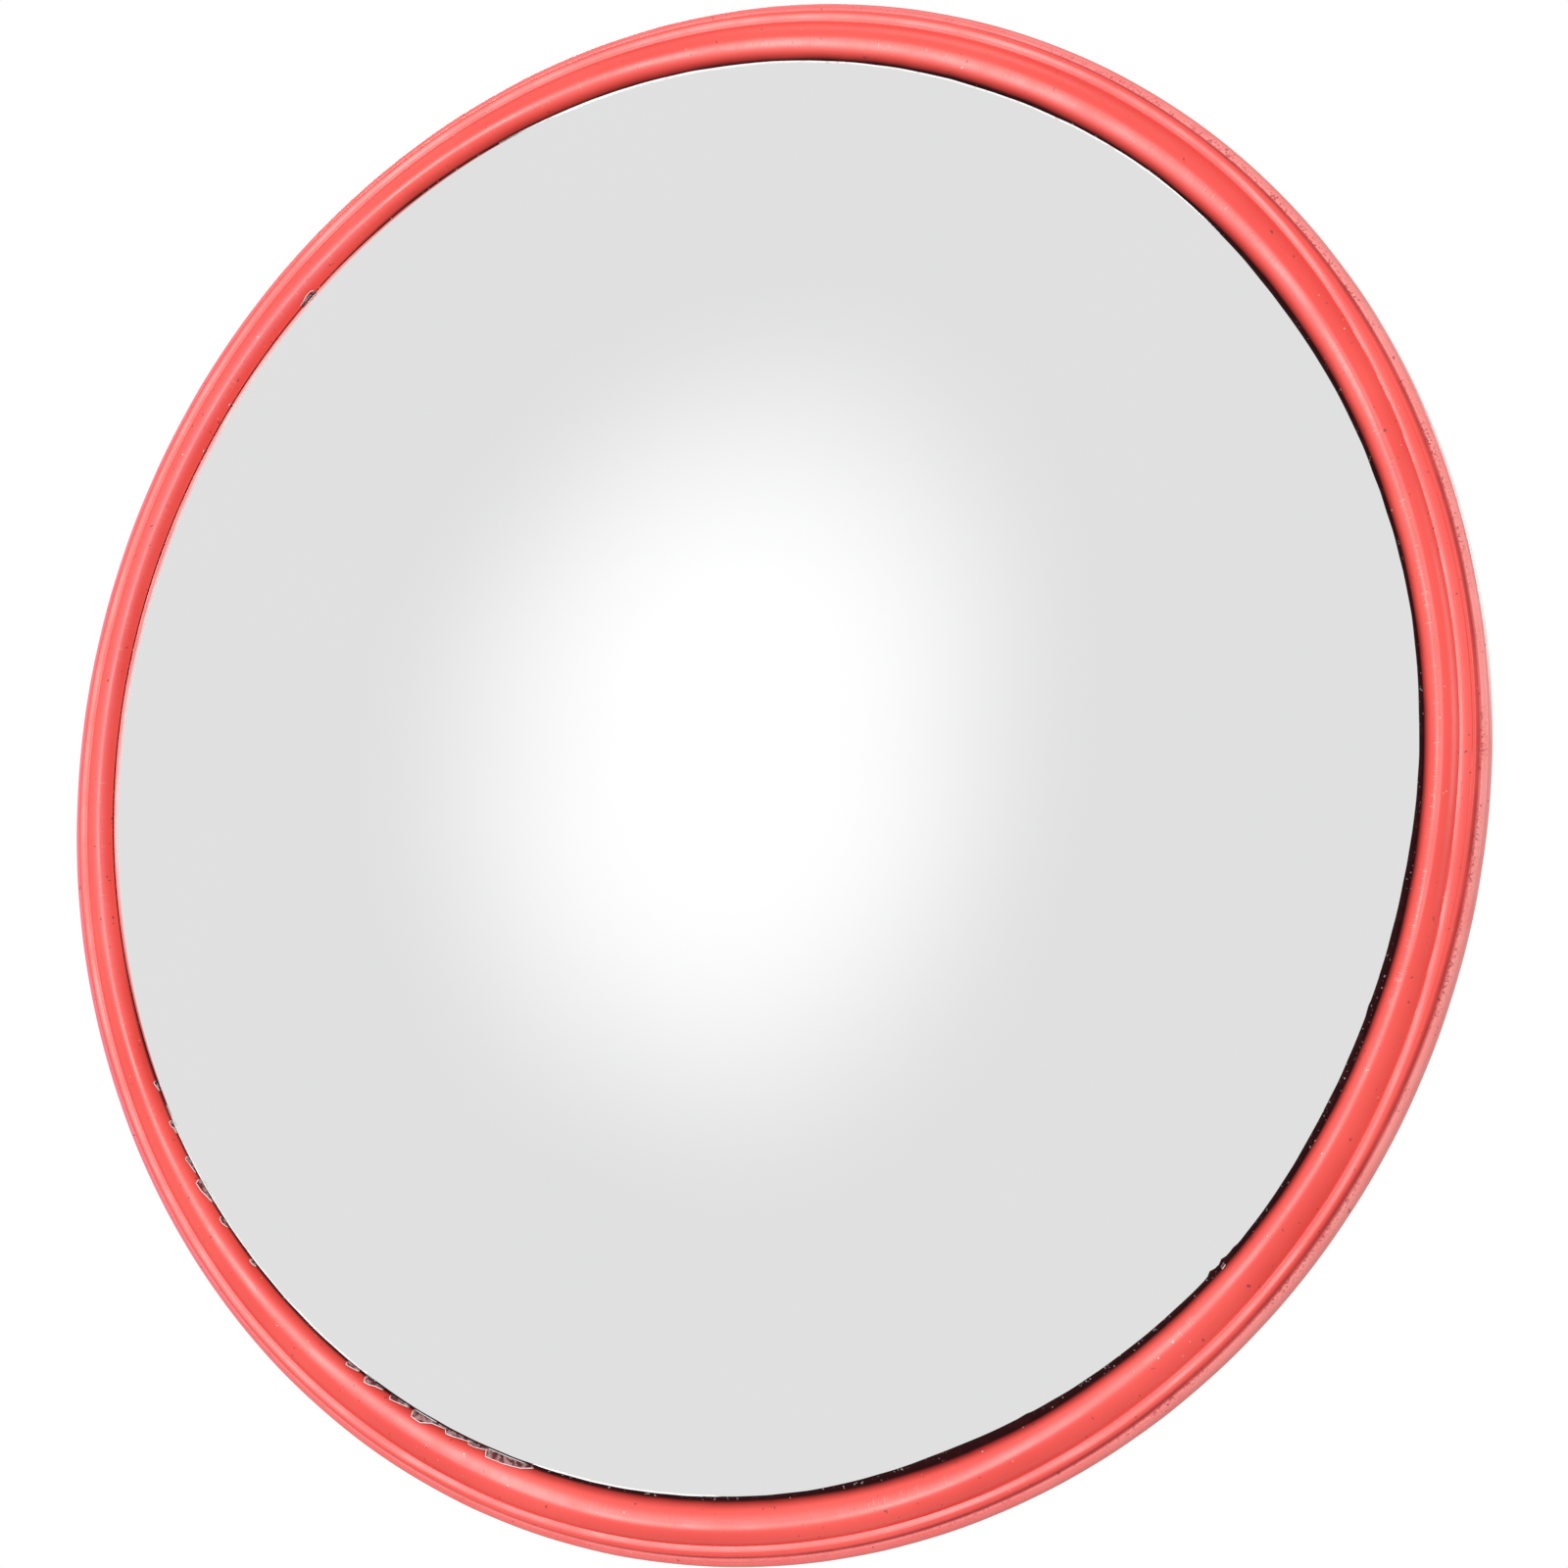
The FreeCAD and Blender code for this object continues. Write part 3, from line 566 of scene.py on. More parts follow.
def front_height(radius, angle):
    """The strip's front: a bead with a tight arc outside its crest, a groove, and a low crowned ridge.

    Near HUMP_ANGLE the strip is squeezed, and its ridge leans inwards. Near PULL_ANGLE its bead is pulled
    towards the rim, so that a flat bit of its lip shows.
    """
    squeezed = nearness(angle, HUMP_ANGLE, 12, 42)
    pulled = nearness(angle, PULL_ANGLE, 8, 36)
    away = radius - CREST_RADIUS - 2.2 * MM * pulled
    curve = (BEAD_OUTSIDE - 1.9 * squeezed - 2.0 * pulled if away > 0 else BEAD_INSIDE) * MM
    bead = CREST_HEIGHT - curve + math.sqrt(max(curve**2 - away**2, 0.0))
    if away < 0 and pulled > 0:
        bead = blended(bead, dome_height(radius) + (pulled - 0.7) * MM, 0.4 * MM)
    inwards = RIDGE_TOP - 3.4 * MM * squeezed - radius
    crown = (RIDGE_INSIDE if inwards > 0 else RIDGE_OUTSIDE) * (1 + 0.4 * pulled) * MM
    ridge = (RIDGE_HEIGHT + 0.35 * squeezed) * MM - inwards**2 / (2 * crown)
    return blended(bead, ridge, (0.85 + 1.1 * squeezed) * MM) - 0.02 * MM


def lip_reach(angle):
    """How much nearer to the rim than its mean the inner lip lies: the strip isn't stretched on evenly."""
    waves = (math.sin(angle), math.cos(angle), math.cos(2 * angle), math.sin(2 * angle))
    swing = sum(size * wave for size, wave in zip(LIP_SWING, waves))
    return (swing + 0.25 * ripple(angle, 30, 2.0)) * MM


def slipped(angle, radius):
    """Where a section's point lies once the lip has wandered, and how much its height changes."""
    moved = radius + lip_reach(angle) * (1 - smooth_step(radius, LIP_RADIUS, CREST_RADIUS))
    return moved, dome_height(moved) - dome_height(radius)


TRIM_TURNS = 840
FRONT_STEP = 0.3 * MM
CLEARANCE = 0.03 * MM
CHANNEL = TRIM_RADIUS - 6.5 * MM
CHANNEL_BACK = 2.5 * MM


def build_trim():
    """The push-on strip: a soft extrusion, so its ridge, bead and lip wander a little on their way round."""
    rim = TRIM_RADIUS / MM
    back = [
        (rim - 15.5, 0.0, 0.8), (rim, 0.0, 2.8), (rim, 6.6, 2.3), (rim - 3.45, 6.5, 0.2),
        (rim - 3.9, RIDGE_HEIGHT, 1.2), (rim - 23.0, RIDGE_HEIGHT, 0.0),
    ]
    section = [point * MM for point in rounded(back)[:-1]]
    first_front = len(section)
    radius = section[-1].x - FRONT_STEP
    while radius > LIP_RADIUS + 0.2 * MM:
        section.append(Vector((radius, 0.0)))
        radius -= FRONT_STEP
    last_front = len(section)
    section.append(Vector((LIP_RADIUS, dome_height(LIP_RADIUS) + 0.28 * MM)))
    section.append(Vector((LIP_RADIUS + 0.06 * MM, dome_height(LIP_RADIUS) + CLEARANCE)))
    for step in range(1, 7):
        radius = LIP_RADIUS + (DOME_FOOT - LIP_RADIUS) * step / 6
        section.append(Vector((radius, dome_height(radius) + CLEARANCE)))
    for point in ((CHANNEL, FLANGE_FRONT + CLEARANCE), (CHANNEL, CHANNEL_BACK), (section[0].x, CHANNEL_BACK)):
        section.append(Vector(point))

    def wander(angle, index):
        radius, height = section[index]
        if first_front <= index < last_front:
            height = front_height(radius, angle) + 0.05 * MM * (ripple(angle, 45, 3.0) - 0.7)
            height = min(height, CREST_HEIGHT)
            inside_lip = smooth_step(radius, LIP_RADIUS, LIP_RADIUS + 4 * MM)
            radius += 0.08 * MM * ripple(angle, 60, 7.0) * inside_lip
        if index >= first_front and radius < CREST_RADIUS:
            radius, rise = slipped(angle, radius)
            height += rise
        if index < first_front and radius > TRIM_RADIUS - 3 * MM:
            radius -= 0.10 * MM * (ripple(angle, 90, 11.0) + 1)
        return on_head(angle, radius, height)

    def ring_at(angle):
        return [wander(angle, index) for index in range(len(section))]

    mesh = lathe("trim_strip", ring_at, TRIM_TURNS)
    add_piece("trim_strip", mesh, "head", "trim_pvc", ["edge_trim"], sharp_degrees=50)


# The dark strip inside the lip, painted shade for the gap there: (angle in degrees, width in mm) round the ring,
# and its lumps.
GAP_SHADE_WIDTHS = [
    (0, 1.6), (8, 1.15), (22, 1.3), (36, 1.75), (52, 0.6), (69, 1.0), (86, 0.45), (118, 0.35), (150, 0.15),
    (195, 0.18), (208, 0.5), (224, 0.75), (241, 1.0), (258, 1.3), (275, 1.6), (290, 3.1), (304, 2.1),
    (318, 1.55), (331, 2.5), (343, 2.6), (360, 1.6),
]
GAP_SHADE_LUMPS = [(314.6, 0.9), (315.9, 0.8), (317.0, 0.4), (296.0, 0.3), (338.0, 0.3)]

# Where the film's clean white cut edge lies along the dark strip: (start and end in degrees, width in mm).
FILM_ARCS = [(43, 112, 0.62), (205, 236, 0.34), (252, 269, 0.55)]

# Torn film caught under the lip: (angle in degrees, length in mm, how far it stands up the slope in mm).
FILM_SHREDS = [
    (133.2, 8.5, 0.8), (144.2, 0.9, 0.2), (148.6, 0.8, 0.2), (203.2, 4.5, 0.8), (207.0, 6.0, 0.8),
    (210.6, 8.0, 1.0), (213.2, 11.0, 1.7), (216.4, 5.5, 1.0), (220.8, 4.0, 0.7), (233.6, 6.5, 0.9),
    (236.0, 9.5, 1.7), (238.8, 9.5, 1.3), (241.9, 16.0, 2.7), (244.8, 12.0, 1.6), (246.8, 9.0, 1.2),
    (249.9, 22.0, 2.8), (315.6, 2.0, 0.5),
]

# A shred's torn corners: the least and most of each one's place along it, and of its share of the height.
SHRED_CORNERS = [(0.06, 0.16, 0.7, 1.0), (0.32, 0.48, 0.55, 1.0), (0.62, 0.80, 0.15, 0.55)]
SHRED_THICKNESS = 0.05 * MM


def gap_shade_width(angle):
    degrees = math.degrees(angle) % 360
    for (low, width), (high, next_width) in zip(GAP_SHADE_WIDTHS, GAP_SHADE_WIDTHS[1:]):
        if low <= degrees <= high:
            width += (next_width - width) * smooth_step(degrees, low, high)
            break
    lumps = sum(size * bump_at(degrees, place, 0.35) for place, size in GAP_SHADE_LUMPS)
    return max(width + 0.18 * ripple(angle, 160, 5.0) + lumps, 0.12) * MM


def build_gap_shade():
    """A dark strip between the lip and the mirror, uneven in width: painted shade for the gap between them."""

    def ring_at(angle):
        lip = LIP_RADIUS + lip_reach(angle)
        width = gap_shade_width(angle)
        under = lip + 0.04 * MM
        profile = [(under, 0.02), (under, 0.22)]
        profile += [(lip - share * width, rise) for share, rise in ((0.25, 0.30), (0.8, 0.18), (1.0, 0.02))]
        return [above_dome(angle, *point) for point in profile]

    mesh = lathe("lip_gap_shade", ring_at, TRIM_TURNS)
    add_piece("lip_gap_shade", mesh, "head", "gasket_rubber", finish=GAP_SHADE, sharp_degrees=60)


def tube(name, path, thickness, sides=6):
    """A thin round line through points on the head, thinner at its ends."""
    rings = []
    for index, point in enumerate(path):
        ahead = path[min(index + 1, len(path) - 1)] - path[max(index - 1, 0)]
        side = ahead.cross(Vector((0, 1, 0))).normalized()
        up = side.cross(ahead).normalized()
        reach = thickness * (0.35 if index in (0, len(path) - 1) else 1.0)
        rings.append(hoop(point, side, up, reach, sides))
    return sweep(name, rings)


def build_film():
    """What is left of the protective film: its cut edge along the dark strip, and shreds caught under the lip."""
    edges, shreds = [], []
    for start, end, full_width in FILM_ARCS:
        rings = []
        steps = round((end - start) * 3)
        for step in range(steps + 1):
            angle = math.radians(start + (end - start) * step / steps)
            ends = smooth_step(min(step, steps - step) / steps, 0.0, 0.12)
            width = (0.06 + full_width * ends + 0.10 * ripple(angle, 80, 9.0)) * MM
            outer = LIP_RADIUS + lip_reach(angle) - gap_shade_width(angle) + 0.15 * MM
            profile = ((outer, 0.03), (outer, 0.34), (outer - 0.8 * width, 0.26), (outer - width, 0.03))
            rings.append([above_dome(angle, *point) for point in profile])
        edges.append(sweep("arc", rings))
    dice = random.Random(20)
    for degrees, length, reach in FILM_SHREDS:
        arc = length * MM / LIP_RADIUS
        torn = [(dice.uniform(near, far), dice.uniform(low, high)) for near, far, low, high in SHRED_CORNERS]
        corners = [(0.0, 0.0), *torn, (1.0, 0.0)]
        curl = dice.uniform(0.1, 0.5)
        outer_edge, inner_edge, rings = [], [], []
        for (share, rise), (next_share, next_rise) in zip(corners, corners[1:]):
            for step in range(4 if next_share < 1.0 else 5):
                up_slope = reach * (rise + (next_rise - rise) * step / 4) * MM
                angle = math.radians(degrees) + arc * (share + (next_share - share) * step / 4 - 0.5)
                front = []
                for part in (1.0, 0.75, 0.5, 0.25):
                    radius = LIP_RADIUS + 0.2 * MM + up_slope * part
                    moved, slip = slipped(angle, radius)
                    lift = 0.15 + curl * part + 0.08 * ripple(angle, 900, degrees)
                    front.append((moved, front_height(radius, angle) + slip + lift * MM))
                inner = LIP_RADIUS + lip_reach(angle) - gap_shade_width(angle) * 0.4
                front.append((inner, dome_height(inner) + 0.42 * MM))
                ring = [on_head(angle, *point) for point in front]
                outer_edge.append(ring[0])
                inner_edge.append(ring[-1])
                back = [on_head(angle, radius, face - SHRED_THICKNESS) for radius, face in reversed(front)]
                rings.append(ring + back)
        shreds.append(sweep("shred", rings))
        edges.append(tube("torn", outer_edge, (0.16 if reach > 1.5 else 0.12) * MM))
        if length > 15:
            edges.append(tube("torn", inner_edge[3:-3], 0.12 * MM))
    add_piece("film_edges", joined("film_edges", edges), "head", "mirror_face", (), FILM_EDGE, 60)
    add_piece("film_shreds", joined("film_shreds", shreds), "head", "mirror_face", (), FILM, 20)


def build_mirror():
    """The domed sheet with its clamped flange, fine enough for clean reflections."""
    centre = dome_height(0) - DOME_CURVATURE

    def dome(distance, count, edge_front):
        """Points of a dome at that distance from the centre of curvature, from the axis to the flange."""
        edge_angle = math.acos((edge_front - centre) / distance)
        angles = [edge_angle * step / count for step in range(count + 1)]
        return [(distance * math.sin(angle), centre + distance * math.cos(angle)) for angle in angles]

    front = dome(DOME_CURVATURE, 80, FLANGE_FRONT)
    back = dome(DOME_CURVATURE - MIRROR_SHEET, 16, MIRROR_FLANGE_BACK)
    section = [*front, (FLANGE_RADIUS, FLANGE_FRONT), (FLANGE_RADIUS, MIRROR_FLANGE_BACK), *back[::-1]]
    mesh = lathe("mirror_dome", lambda angle: [on_head(angle, *point) for point in section], 360)
    add_piece("mirror_dome", mesh, "head", "mirror_face", ["mirror"], sharp_degrees=12)


# ---------------------------------------------------------------- steel and hardware


EAR_THICKNESS = 5.0 * MM
ARM_CORNER = 2.0 * MM
STEEL_EDGE = 0.7 * MM
GASKET_EDGE = 0.4 * MM
PIVOT_BOLT = 6.0 * MM
PIVOT_PITCH = 1.75 * MM
PIVOT_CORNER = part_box("pan_bolt")[1].x
PIVOT_WASHER = 2.5 * MM
PIVOT_WASHER_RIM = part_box("pan_washers")[1].x
PIVOT_SPRING_RIM = 10.5 * MM
SMALL_BOLT = 4.0 * MM
SMALL_CORNER = 7.5 * MM
SMALL_WASHER_RIM = 8.0 * MM
SMALL_SPRING_RIM = 7.4 * MM
WELD_STEPS = 5
WELD_PITCH = 0.42 * MM
WELD_SIDES = 12


def softened(node, width):
    """A copy of a CAD node with its sharp edges rounded off, which stands for it.

    Its face layer "edge" marks the rounded edges, where the paint wears.
    """
    shape = bmesh.new()
    shape.from_mesh(frame["nodes"][node].data)
    mark = shape.faces.layers.float.new("edge")
    bmesh.ops.remove_doubles(shape, verts=shape.verts, dist=1e-6)
    bmesh.ops.dissolve_limit(shape, angle_limit=math.radians(2), verts=shape.verts, edges=shape.edges)
    edges = [edge for edge in shape.edges if edge.is_manifold and edge.calc_face_angle() > math.radians(32)]
    bevels = bmesh.ops.bevel(
        shape, geom=edges, offset=width, segments=3, profile=0.5, affect="EDGES", clamp_overlap=True
    )
    for face in bevels["faces"]:
        face[mark] = 1.0
    mesh = bpy.data.meshes.new(f"{node}_soft")
    shape.to_mesh(mesh)
    shape.free()
    add_piece(f"{node}_soft", mesh, BODY_OF[node], SLOT_OF[node], [node], sharp_degrees=40)


def placed(section, angle, place):
    """A section of (radius, height) points, turned by an angle round an axis that place sets in the world."""
    return [place @ Vector((r * math.cos(angle), r * math.sin(angle), h)) for r, h in section]


def turned(name, section, place, sides=64):
    """Turn a section right round its axis. It may be a function of the angle."""
    section_at = section if callable(section) else lambda angle: section
    return lathe(name, lambda angle: placed(section_at(angle), angle, place), sides)


def along(centre, axis, side):
    """A matrix that takes local Z to axis and local X to side, round a centre."""
    axis, side = Vector(axis), Vector(side)
    return Matrix.Translation(centre) @ Matrix((side, axis.cross(side), axis)).transposed().to_4x4()


def hexagon(corner, low, high, bore, place):
    """A hexagon head or nut with its corners turned off. A head, with no bore, is dished in its middle."""
    flat = corner * math.cos(math.pi / 6)
    inscribed = flat * 0.96

    def section(angle):
        edge = flat / math.cos(math.pi / 6 - abs(math.remainder(angle, math.pi / 3)))
        fall = (edge - inscribed) * math.tan(math.radians(30))
        foot = low + (fall if bore else 0.0)
        outside = [(inscribed, low), (edge, foot), (edge, high - fall), (inscribed, high)]
        if bore:
            return [(bore, low), *outside, (bore, high)]
        dish = high - 0.4 * MM
        return [(0.0, low), *outside, (0.78 * inscribed, high), (0.70 * inscribed, dish), (0.0, dish)]

    return turned("hexagon", section, place, 72)


def screw(radius, low, high, pitch, place):
    """A stretch of screw thread that ends at high in a chamfer."""
    depth = 0.6 * pitch
    chamfer = 0.8 * pitch
    count = math.ceil((high - low) / (0.09 * pitch))
    heights = [low + (high - low) * step / count for step in range(count + 1)]

    def section(angle):
        points = [(0.0, low)]
        for height in heights:
            wave = abs(math.remainder(height / pitch - angle / FULL_TURN, 1.0)) * 2
            crest = radius - depth * smooth_step(wave, 0.12, 0.88)
            points.append((min(crest, radius - chamfer + high - height), height))
        return [*points, (0.0, high)]

    return turned("screw", section, place, 60)


def washer_section(bore, rim, low, high, soft):
    """A washer's section, with its outer corners cut off."""
    outside = [(rim - soft, low), (rim, low + soft), (rim, high - soft), (rim - soft, high)]
    return [(bore, low), *outside, (bore, high)]


def washer(bore, rim, low, high, place):
    soft = min(0.3 * MM, (high - low) / 4)
    return turned("washer", washer_section(bore, rim, low, high, soft), place)


def spring_washer(bore, rim, low, high, gap, place):
    """A split ring whose two ends stand a little apart."""
    rise = (high - low) * 0.14
    start = gap / rim / 2
    rings = []
    for step in range(61):
        share = step / 60
        lift = rise * share
        section = washer_section(bore, rim, low + lift, high - rise + lift, 0.2 * MM)
        rings.append(placed(section, start + (FULL_TURN - 2 * start) * share, place))
    return sweep("spring", rings)


def span(node, axis):
    """Where a node starts and ends along an axis, from the world's origin."""
    low, high = (corner.dot(Vector(axis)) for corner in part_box(node))
    return min(low, high), max(low, high)


def build_pivot(joint, axis_y, axis, side):
    """A pivot's bolt, washers and lock nut, each where its CAD node is."""

    def add(part, mesh, sharp_degrees=35):
        node = f"{joint}_{part}"
        add_piece(f"{node}_fine", mesh, BODY_OF[node], "zinc", [node], sharp_degrees=sharp_degrees)

    place = along((0, axis_y, 0), axis, side)
    flipped = along((0, axis_y, 0), -Vector(axis), side)
    bolt_end, head_top = span(f"{joint}_bolt", axis)
    nut_end, nut_face = span(f"{joint}_nut", axis)
    washer_face = span(f"{joint}_washers", axis)[1]
    shank = [(0.0, nut_face), (PIVOT_BOLT, nut_face), (PIVOT_BOLT, washer_face), (0.0, washer_face)]
    bolt = [
        hexagon(PIVOT_CORNER, washer_face, head_top, 0.0, place),
        turned("shank", shank, place),
        screw(PIVOT_BOLT, -nut_face, -bolt_end, PIVOT_PITCH, flipped),
    ]
    add("bolt", joined("bolt", bolt), 28)
    # The nut's round collar holds a nylon ring. Both end where the nut does.
    end = -nut_end
    foot = end - 3.2 * MM
    ring = PIVOT_BOLT + 1.3 * MM
    outside = PIVOT_CORNER * math.cos(math.pi / 6) * 0.95
    collar = [
        (ring, foot), (outside, foot), (outside, end - 1.1 * MM), (outside - 0.4 * MM, end - 0.4 * MM),
        (outside - 1.1 * MM, end), (ring, end),
    ]
    nut = [
        hexagon(PIVOT_CORNER, -nut_face, foot, PIVOT_BOLT + 0.1 * MM, flipped),
        turned("collar", collar, flipped),
    ]
    add("nut", joined("nut", nut), 28)
    bore = PIVOT_BOLT + 0.05 * MM
    insert = [
        (bore, foot + 0.2 * MM), (ring, foot + 0.2 * MM), (ring, end - 0.5 * MM),
        (PIVOT_BOLT + 0.7 * MM, end - 0.3 * MM), (bore, end - 0.6 * MM),
    ]
    add_piece(f"{joint}_nut_insert", turned("insert", insert, flipped), BODY_OF[f"{joint}_nut"], "nylon")
    bore = PIVOT_BOLT + 0.5 * MM
    ear_face = washer_face - PIVOT_WASHER
    flats = [washer(bore, PIVOT_WASHER_RIM, ear_face, washer_face, way) for way in (place, flipped)]
    add("washers", joined("flats", flats))
    spring_low = -span(f"{joint}_spring_washer", axis)[1]
    add("spring_washer", spring_washer(bore, PIVOT_SPRING_RIM, spring_low, -nut_face, 2.0 * MM, flipped))


def build_yoke_bolts():
    """The four bolts that hold the yoke plate, with their washers."""
    backwards = (0, 1, 0)
    tip, head_top = span("yoke_bolts", backwards)
    plate, spring_foot = span("yoke_washers", backwards)
    head_foot = span("yoke_spring_washers", backwards)[1]
    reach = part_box("yoke_bolts")[1].x - SMALL_CORNER
    bore = SMALL_BOLT + 0.2 * MM
    bolts, flats, springs = [], [], []
    for x, z in ((-reach, -reach), (reach, -reach), (reach, reach), (-reach, reach)):
        turn = Matrix.Rotation(math.radians(23 * (x - 2 * z) / reach), 4, "Z")
        place = along((x, 0, z), backwards, (1, 0, 0))
        bolts.append(hexagon(SMALL_CORNER, head_foot, head_top, 0.0, place))
        outside = [(SMALL_BOLT - 1.0 * MM, tip), (SMALL_BOLT, tip + 1.0 * MM), (SMALL_BOLT, head_foot)]
        shank = [(0.0, tip), *outside, (0.0, head_foot)]
        bolts.append(turned("shank", shank, place, 32))
        flats.append(washer(bore, SMALL_WASHER_RIM, plate, spring_foot, place))
        springs.append(spring_washer(bore, SMALL_SPRING_RIM, spring_foot, head_foot, 1.5 * MM, place @ turn))
    add_piece("yoke_bolts_fine", joined("bolts", bolts), "head", "zinc", ["yoke_bolts"], sharp_degrees=28)
    add_piece("yoke_washers_fine", joined("flats", flats), "head", "zinc", ["yoke_washers"])
    add_piece("yoke_springs_fine", joined("springs", springs), "head", "zinc", ["yoke_spring_washers"])


def weld(path, radius, closed=False):
    """A weld bead through (point, outward direction) pairs: overlapping scales of slightly uneven size."""
    rings = []
    count = len(path)
    for index, (point, outward) in enumerate(path):
        following = path[(index + 1) % count][0] if closed or index < count - 1 else point
        previous = path[index - 1][0] if closed or index else point
        side = (following - previous).normalized().cross(outward).normalized()
        scale = index % WELD_STEPS / WELD_STEPS
        swell = 0.84 + 0.22 * math.sin(math.pi * scale) + 0.10 * noise.noise(point * 300)
        if not closed:
            swell *= min(1.0, 0.45 + 0.2 * min(index, count - 1 - index))
        rings.append(hoop(point, side, outward, radius * swell, WELD_SIDES))
    return sweep("weld", rings, closed)


def straight_weld(start, end, outward, radius):
    start, end, outward = Vector(start), Vector(end), Vector(outward).normalized()
    count = round((end - start).length / WELD_PITCH)
    return weld([(start.lerp(end, step / count), outward) for step in range(count + 1)], radius)


def saddle_weld(axis_y, across, length, towards, radius):
    """A weld round the square arm where it sits on a round barrel."""
    across, length, towards = Vector(across), Vector(length), Vector(towards)
    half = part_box("arm_tube")[1].x / MM
    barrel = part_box("pan_barrel")[1].x
    centre = Vector((0, axis_y, 0))
    square = ((-half, -half), (half, -half), (half, half), (-half, half))
    outline = [point * MM for point in rounded([(x, y, ARM_CORNER / MM) for x, y in square])]
    path = []
    for index, point in enumerate(outline):
        following = outline[(index + 1) % len(outline)]
        count = max(1, round((following - point).length / WELD_PITCH))
        for step in range(count):
            u, w = point.lerp(following, step / count)
            reach = math.sqrt(barrel**2 - u**2)
            outward = (across * u + length * w).normalized() + towards * 0.5
            path.append((centre + across * u + length * w + towards * reach, outward.normalized()))
    return weld(path, radius, closed=True)


def build_welds():
    """Beads along the ears' roots and round the arm's two ends, painted over."""
    bead = 2.0 * MM
    for name, node, body, foot, out in (
        ("wall", "wall_ears", "wall_bracket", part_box("wall_plate")[0].y, -1),
        ("yoke", "yoke_ears", "head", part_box("yoke_plate")[1].y, 1),
    ):
        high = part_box(node)[1]
        upright = name == "wall"
        length = (high.x if upright else high.z) - 1.0 * MM
        outer = high.z if upright else high.x
        runs = []
        for face, way in ((outer, 1), (outer - EAR_THICKNESS, -1), (-outer, -1), (EAR_THICKNESS - outer, 1)):
            ends = [(at, foot, face) if upright else (face, foot, at) for at in (-length, length)]
            outward = (0, out, way) if upright else (way, out, 0)
            runs.append(straight_weld(*ends, outward, bead))
        add_piece(f"{name}_welds", joined("runs", runs), body, "black_paint", sharp_degrees=80)
    saddles = [
        saddle_weld(PAN_AXIS_Y, (1, 0, 0), (0, 0, 1), (0, -1, 0), 1.8 * MM),
        saddle_weld(TILT_AXIS_Y, (0, 0, 1), (1, 0, 0), (0, 1, 0), 1.8 * MM),
    ]
    add_piece("arm_welds", joined("saddles", saddles), "arm", "black_paint", sharp_degrees=80)


for node in ("wall_plate", "wall_ears", "yoke_plate", "yoke_ears", "pan_barrel", "tilt_barrel", "arm_tube"):
    softened(node, STEEL_EDGE)
softened("yoke_gasket", GASKET_EDGE)
build_pivot("pan", PAN_AXIS_Y, (0, 0, 1), (1, 0, 0))
build_pivot("tilt", TILT_AXIS_Y, (1, 0, 0), (0, 0, 1))
build_yoke_bolts()
build_welds()
build_trim()
build_mirror()
build_gap_shade()
build_film()


# ---------------------------------------------------------------- stage, light and camera

def direction(azimuth, elevation):
    """A unit vector from the mirror out to a place that many degrees right of its axis and up."""
    azimuth, elevation = math.radians(azimuth), math.radians(elevation)
    level = math.cos(elevation)
    return Vector((math.sin(azimuth) * level, -math.cos(azimuth) * level, math.sin(elevation)))


HEAD_CENTRE = Vector((0, TRIM_BACK_Y, 0))
VIEW_DIRECTION = direction(26.51, -8.53)
VIEW_DISTANCE = 2.2
VIEW_LENS_MM = 132.3
AIM_RIGHT = 14.1 * MM
AIM_DOWN = 3.6 * MM


def build_camera():
    camera = bpy.data.objects.new("camera", bpy.data.cameras.new("camera"))
    bpy.context.scene.collection.objects.link(camera)
    right = Vector((0, 0, 1)).cross(VIEW_DIRECTION).normalized()
    up = VIEW_DIRECTION.cross(right)
    aim = HEAD_CENTRE + right * AIM_RIGHT - up * AIM_DOWN
    camera.location = HEAD_CENTRE + VIEW_DIRECTION * VIEW_DISTANCE
    camera.rotation_euler = (camera.location - aim).to_track_quat("Z", "Y").to_euler()
    camera.data.sensor_width = 36.0
    camera.data.lens = VIEW_LENS_MM
    camera.data.clip_end = 100.0
    bpy.context.scene.camera = camera


ROOM_DIRECTION = direction(-26, 9)
ROOM_LEVEL = 0.81
ROOM_NEAR = math.radians(44)
ROOM_FAR = math.radians(95)
ROOM_SHADE = 0.55
GLOW_DIRECTION = direction(-24.1, 9.35)
GLOW_LEVEL = 1.34 * ROOM_LEVEL
GLOW_CORE = math.radians(5.1)
GLOW_EDGE = math.radians(23.9)
GLOW_HALF_HEIGHT = math.radians(2.2)
GLOW_LEAN = 0.18


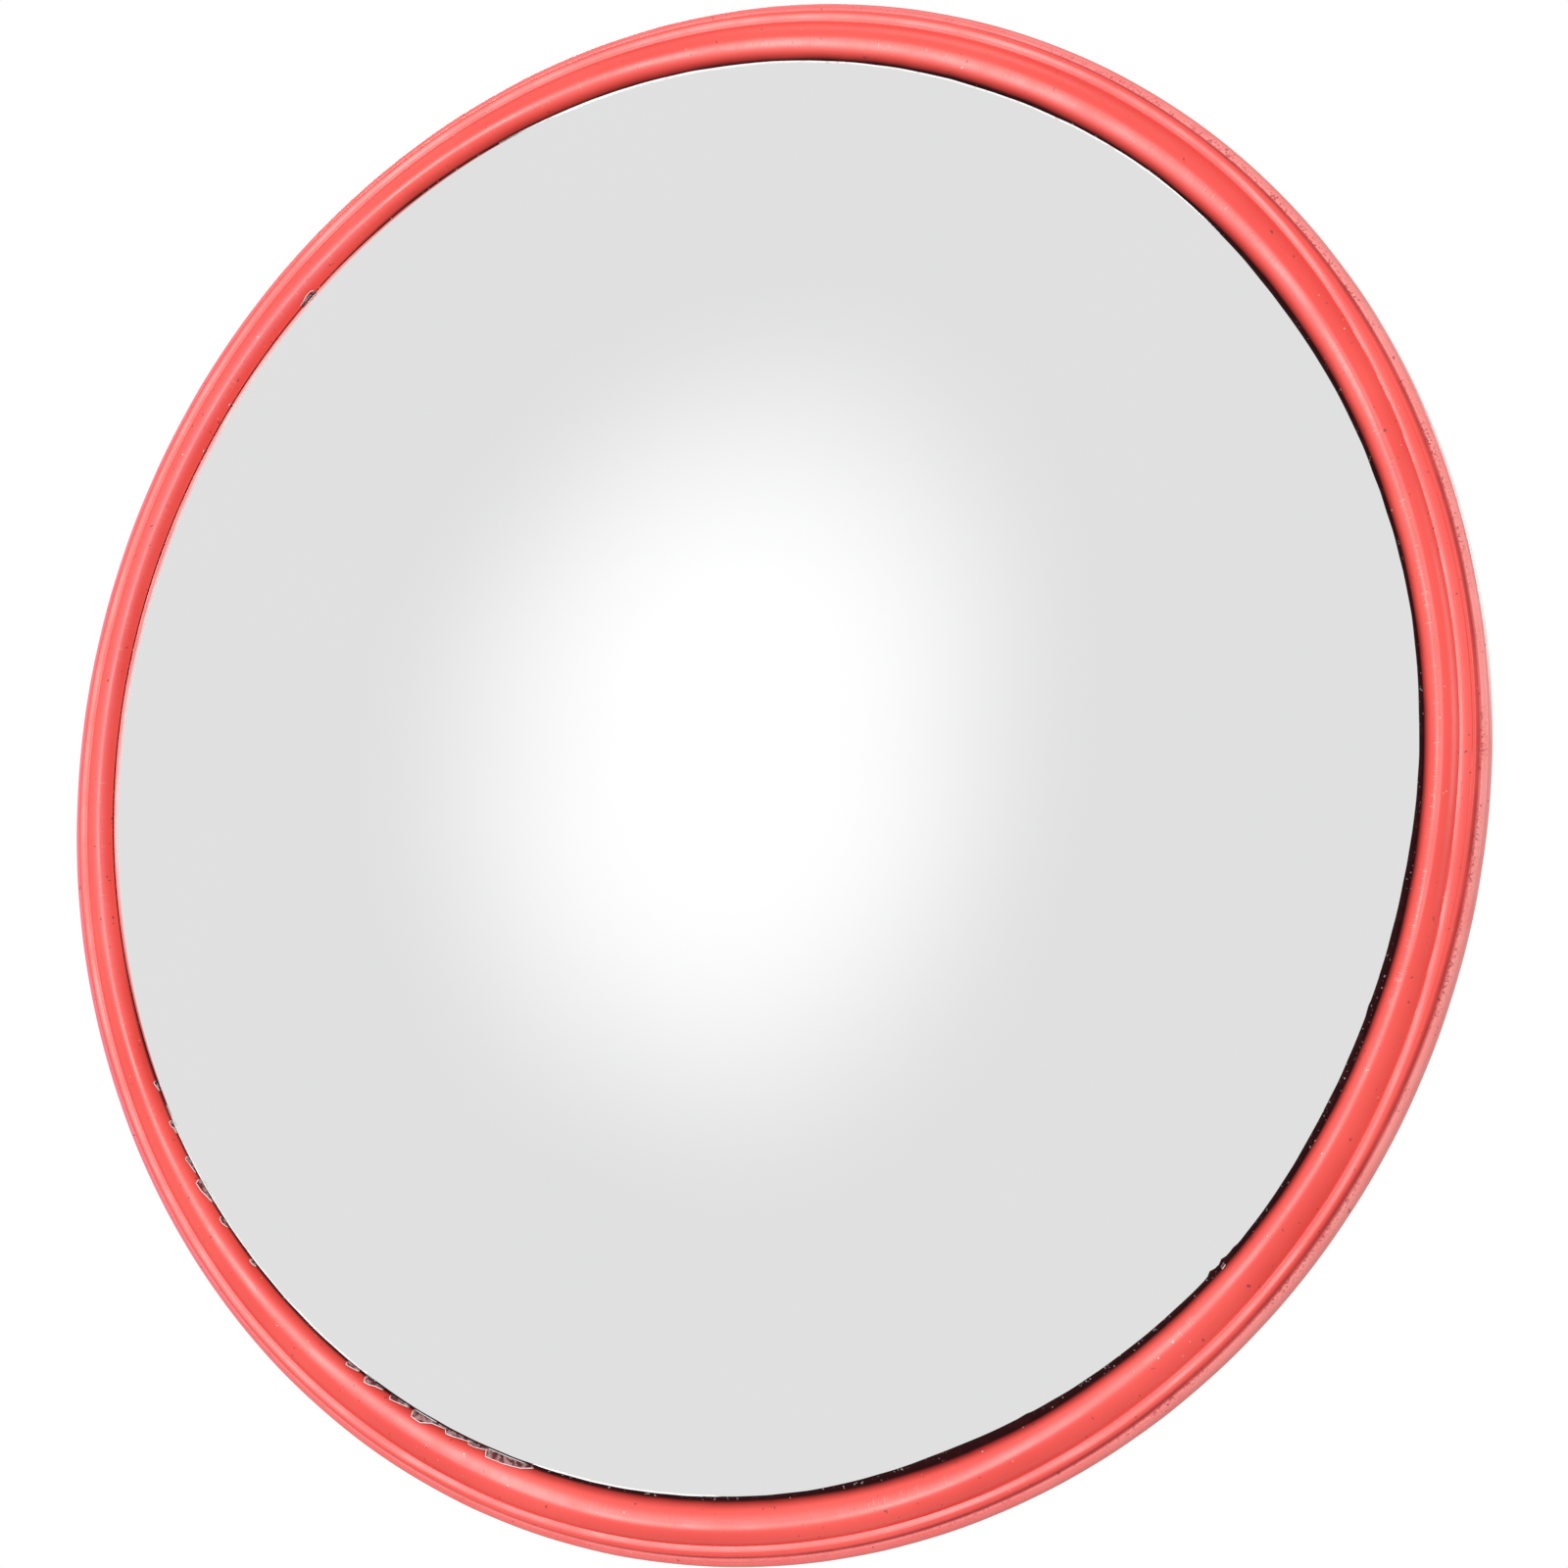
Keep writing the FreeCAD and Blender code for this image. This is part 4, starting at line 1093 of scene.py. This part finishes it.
def build_world():
    """A white studio with a tall softbox glow in front of the mirror, dimmer behind and beside it."""
    world = bpy.data.worlds.new("studio")
    bpy.context.scene.world = world
    world.use_nodes = True
    nodes = Nodes(world.node_tree, "Generated")

    def angle_along(axis):
        return nodes.vector("DOT_PRODUCT", nodes.place, axis)["Value"]

    sideways = Vector((0, 0, 1)).cross(GLOW_DIRECTION).normalized()
    upright = GLOW_DIRECTION.cross(sideways)
    ahead = angle_along(GLOW_DIRECTION)
    straight = nodes.math("ARCTAN2", angle_along(sideways), ahead)
    across = nodes.total(straight, nodes.times(straight, straight, GLOW_LEAN))
    height = nodes.math("ABSOLUTE", nodes.math("ARCTAN2", angle_along(upright), ahead))
    beyond = nodes.math("MAXIMUM", nodes.math("SUBTRACT", height, GLOW_HALF_HEIGHT), 0.0)
    away = nodes.math("SQRT", nodes.total(nodes.times(across, across), nodes.times(beyond, beyond)))
    glow = nodes.step(away, GLOW_CORE, GLOW_EDGE, GLOW_LEVEL, ROOM_LEVEL)
    behind = nodes.math("ARCCOSINE", angle_along(ROOM_DIRECTION))
    lit = nodes.times(glow, nodes.step(behind, ROOM_NEAR, ROOM_FAR, 1.0, ROOM_SHADE))
    backdrop = nodes.add("ShaderNodeLightPath").outputs["Is Camera Ray"]
    background = world.node_tree.nodes["Background"]
    nodes.put(background.inputs["Color"], (1, 1, 1, 1))
    nodes.put(background.inputs["Strength"], nodes.math("MAXIMUM", lit, backdrop))


def add_softbox(name, towards, distance, width, height, radiance):
    """An oval soft light that shines at the mirror head from that direction."""
    light = bpy.data.lights.new(name, "AREA")
    light.shape = "ELLIPSE"
    light.size = width
    light.size_y = height
    light.energy = radiance * math.pi * math.pi * width * height / 4
    lamp = bpy.data.objects.new(name, light)
    bpy.context.scene.collection.objects.link(lamp)
    lamp.location = HEAD_CENTRE + towards * distance
    lamp.rotation_euler = towards.to_track_quat("Z", "Y").to_euler()


FLOOR_RADIUS = 1.45
FLOOR_DROP = 1.5


def build_floor():
    """A pale round floor that fades out at its edge."""
    finish = Finish("floor", (0.80, 0.80, 0.80), 0.7)
    away = finish.vector("LENGTH", finish.place)["Value"]
    finish.shade(Alpha=finish.step(away, 0.5, 1.4, 1.0, 0.0))
    finish.shade(Roughness=finish.cloud(3.0, 2.0, 0.3, 0.7, 0.65, 0.75))
    floor = bmesh.new()
    bmesh.ops.create_circle(floor, cap_ends=True, segments=96, radius=FLOOR_RADIUS)
    mesh = bpy.data.meshes.new("floor")
    floor.to_mesh(mesh)
    floor.free()
    mesh.materials.append(finish.material)
    stage = bpy.data.objects.new("floor", mesh)
    stage.location = (0, TRIM_BACK_Y / 2, -FLOOR_DROP)
    bpy.context.scene.collection.objects.link(stage)


build_camera()
build_world()
build_floor()

# Name, azimuth and elevation in degrees, distance, width and height in metres, and radiance.
for name, azimuth, elevation, *size in (
    ("key", -24.4, 8.7, 3.0, 0.38, 0.70, 47.0),
    ("right_fill", 75, 10, 2.5, 1.2, 1.4, 3.5),
    ("top_fill", -20, 75, 2.5, 1.2, 1.2, 1.5),
    ("rear_left", -140, 35, 2.5, 1.0, 1.0, 9.0),
    ("rear_right", 150, 20, 2.5, 0.8, 0.8, 9.0),
):
    add_softbox(name, direction(azimuth, elevation), *size)

bpy.context.scene.view_settings.view_transform = "Standard"
bpy.context.view_layer.update()
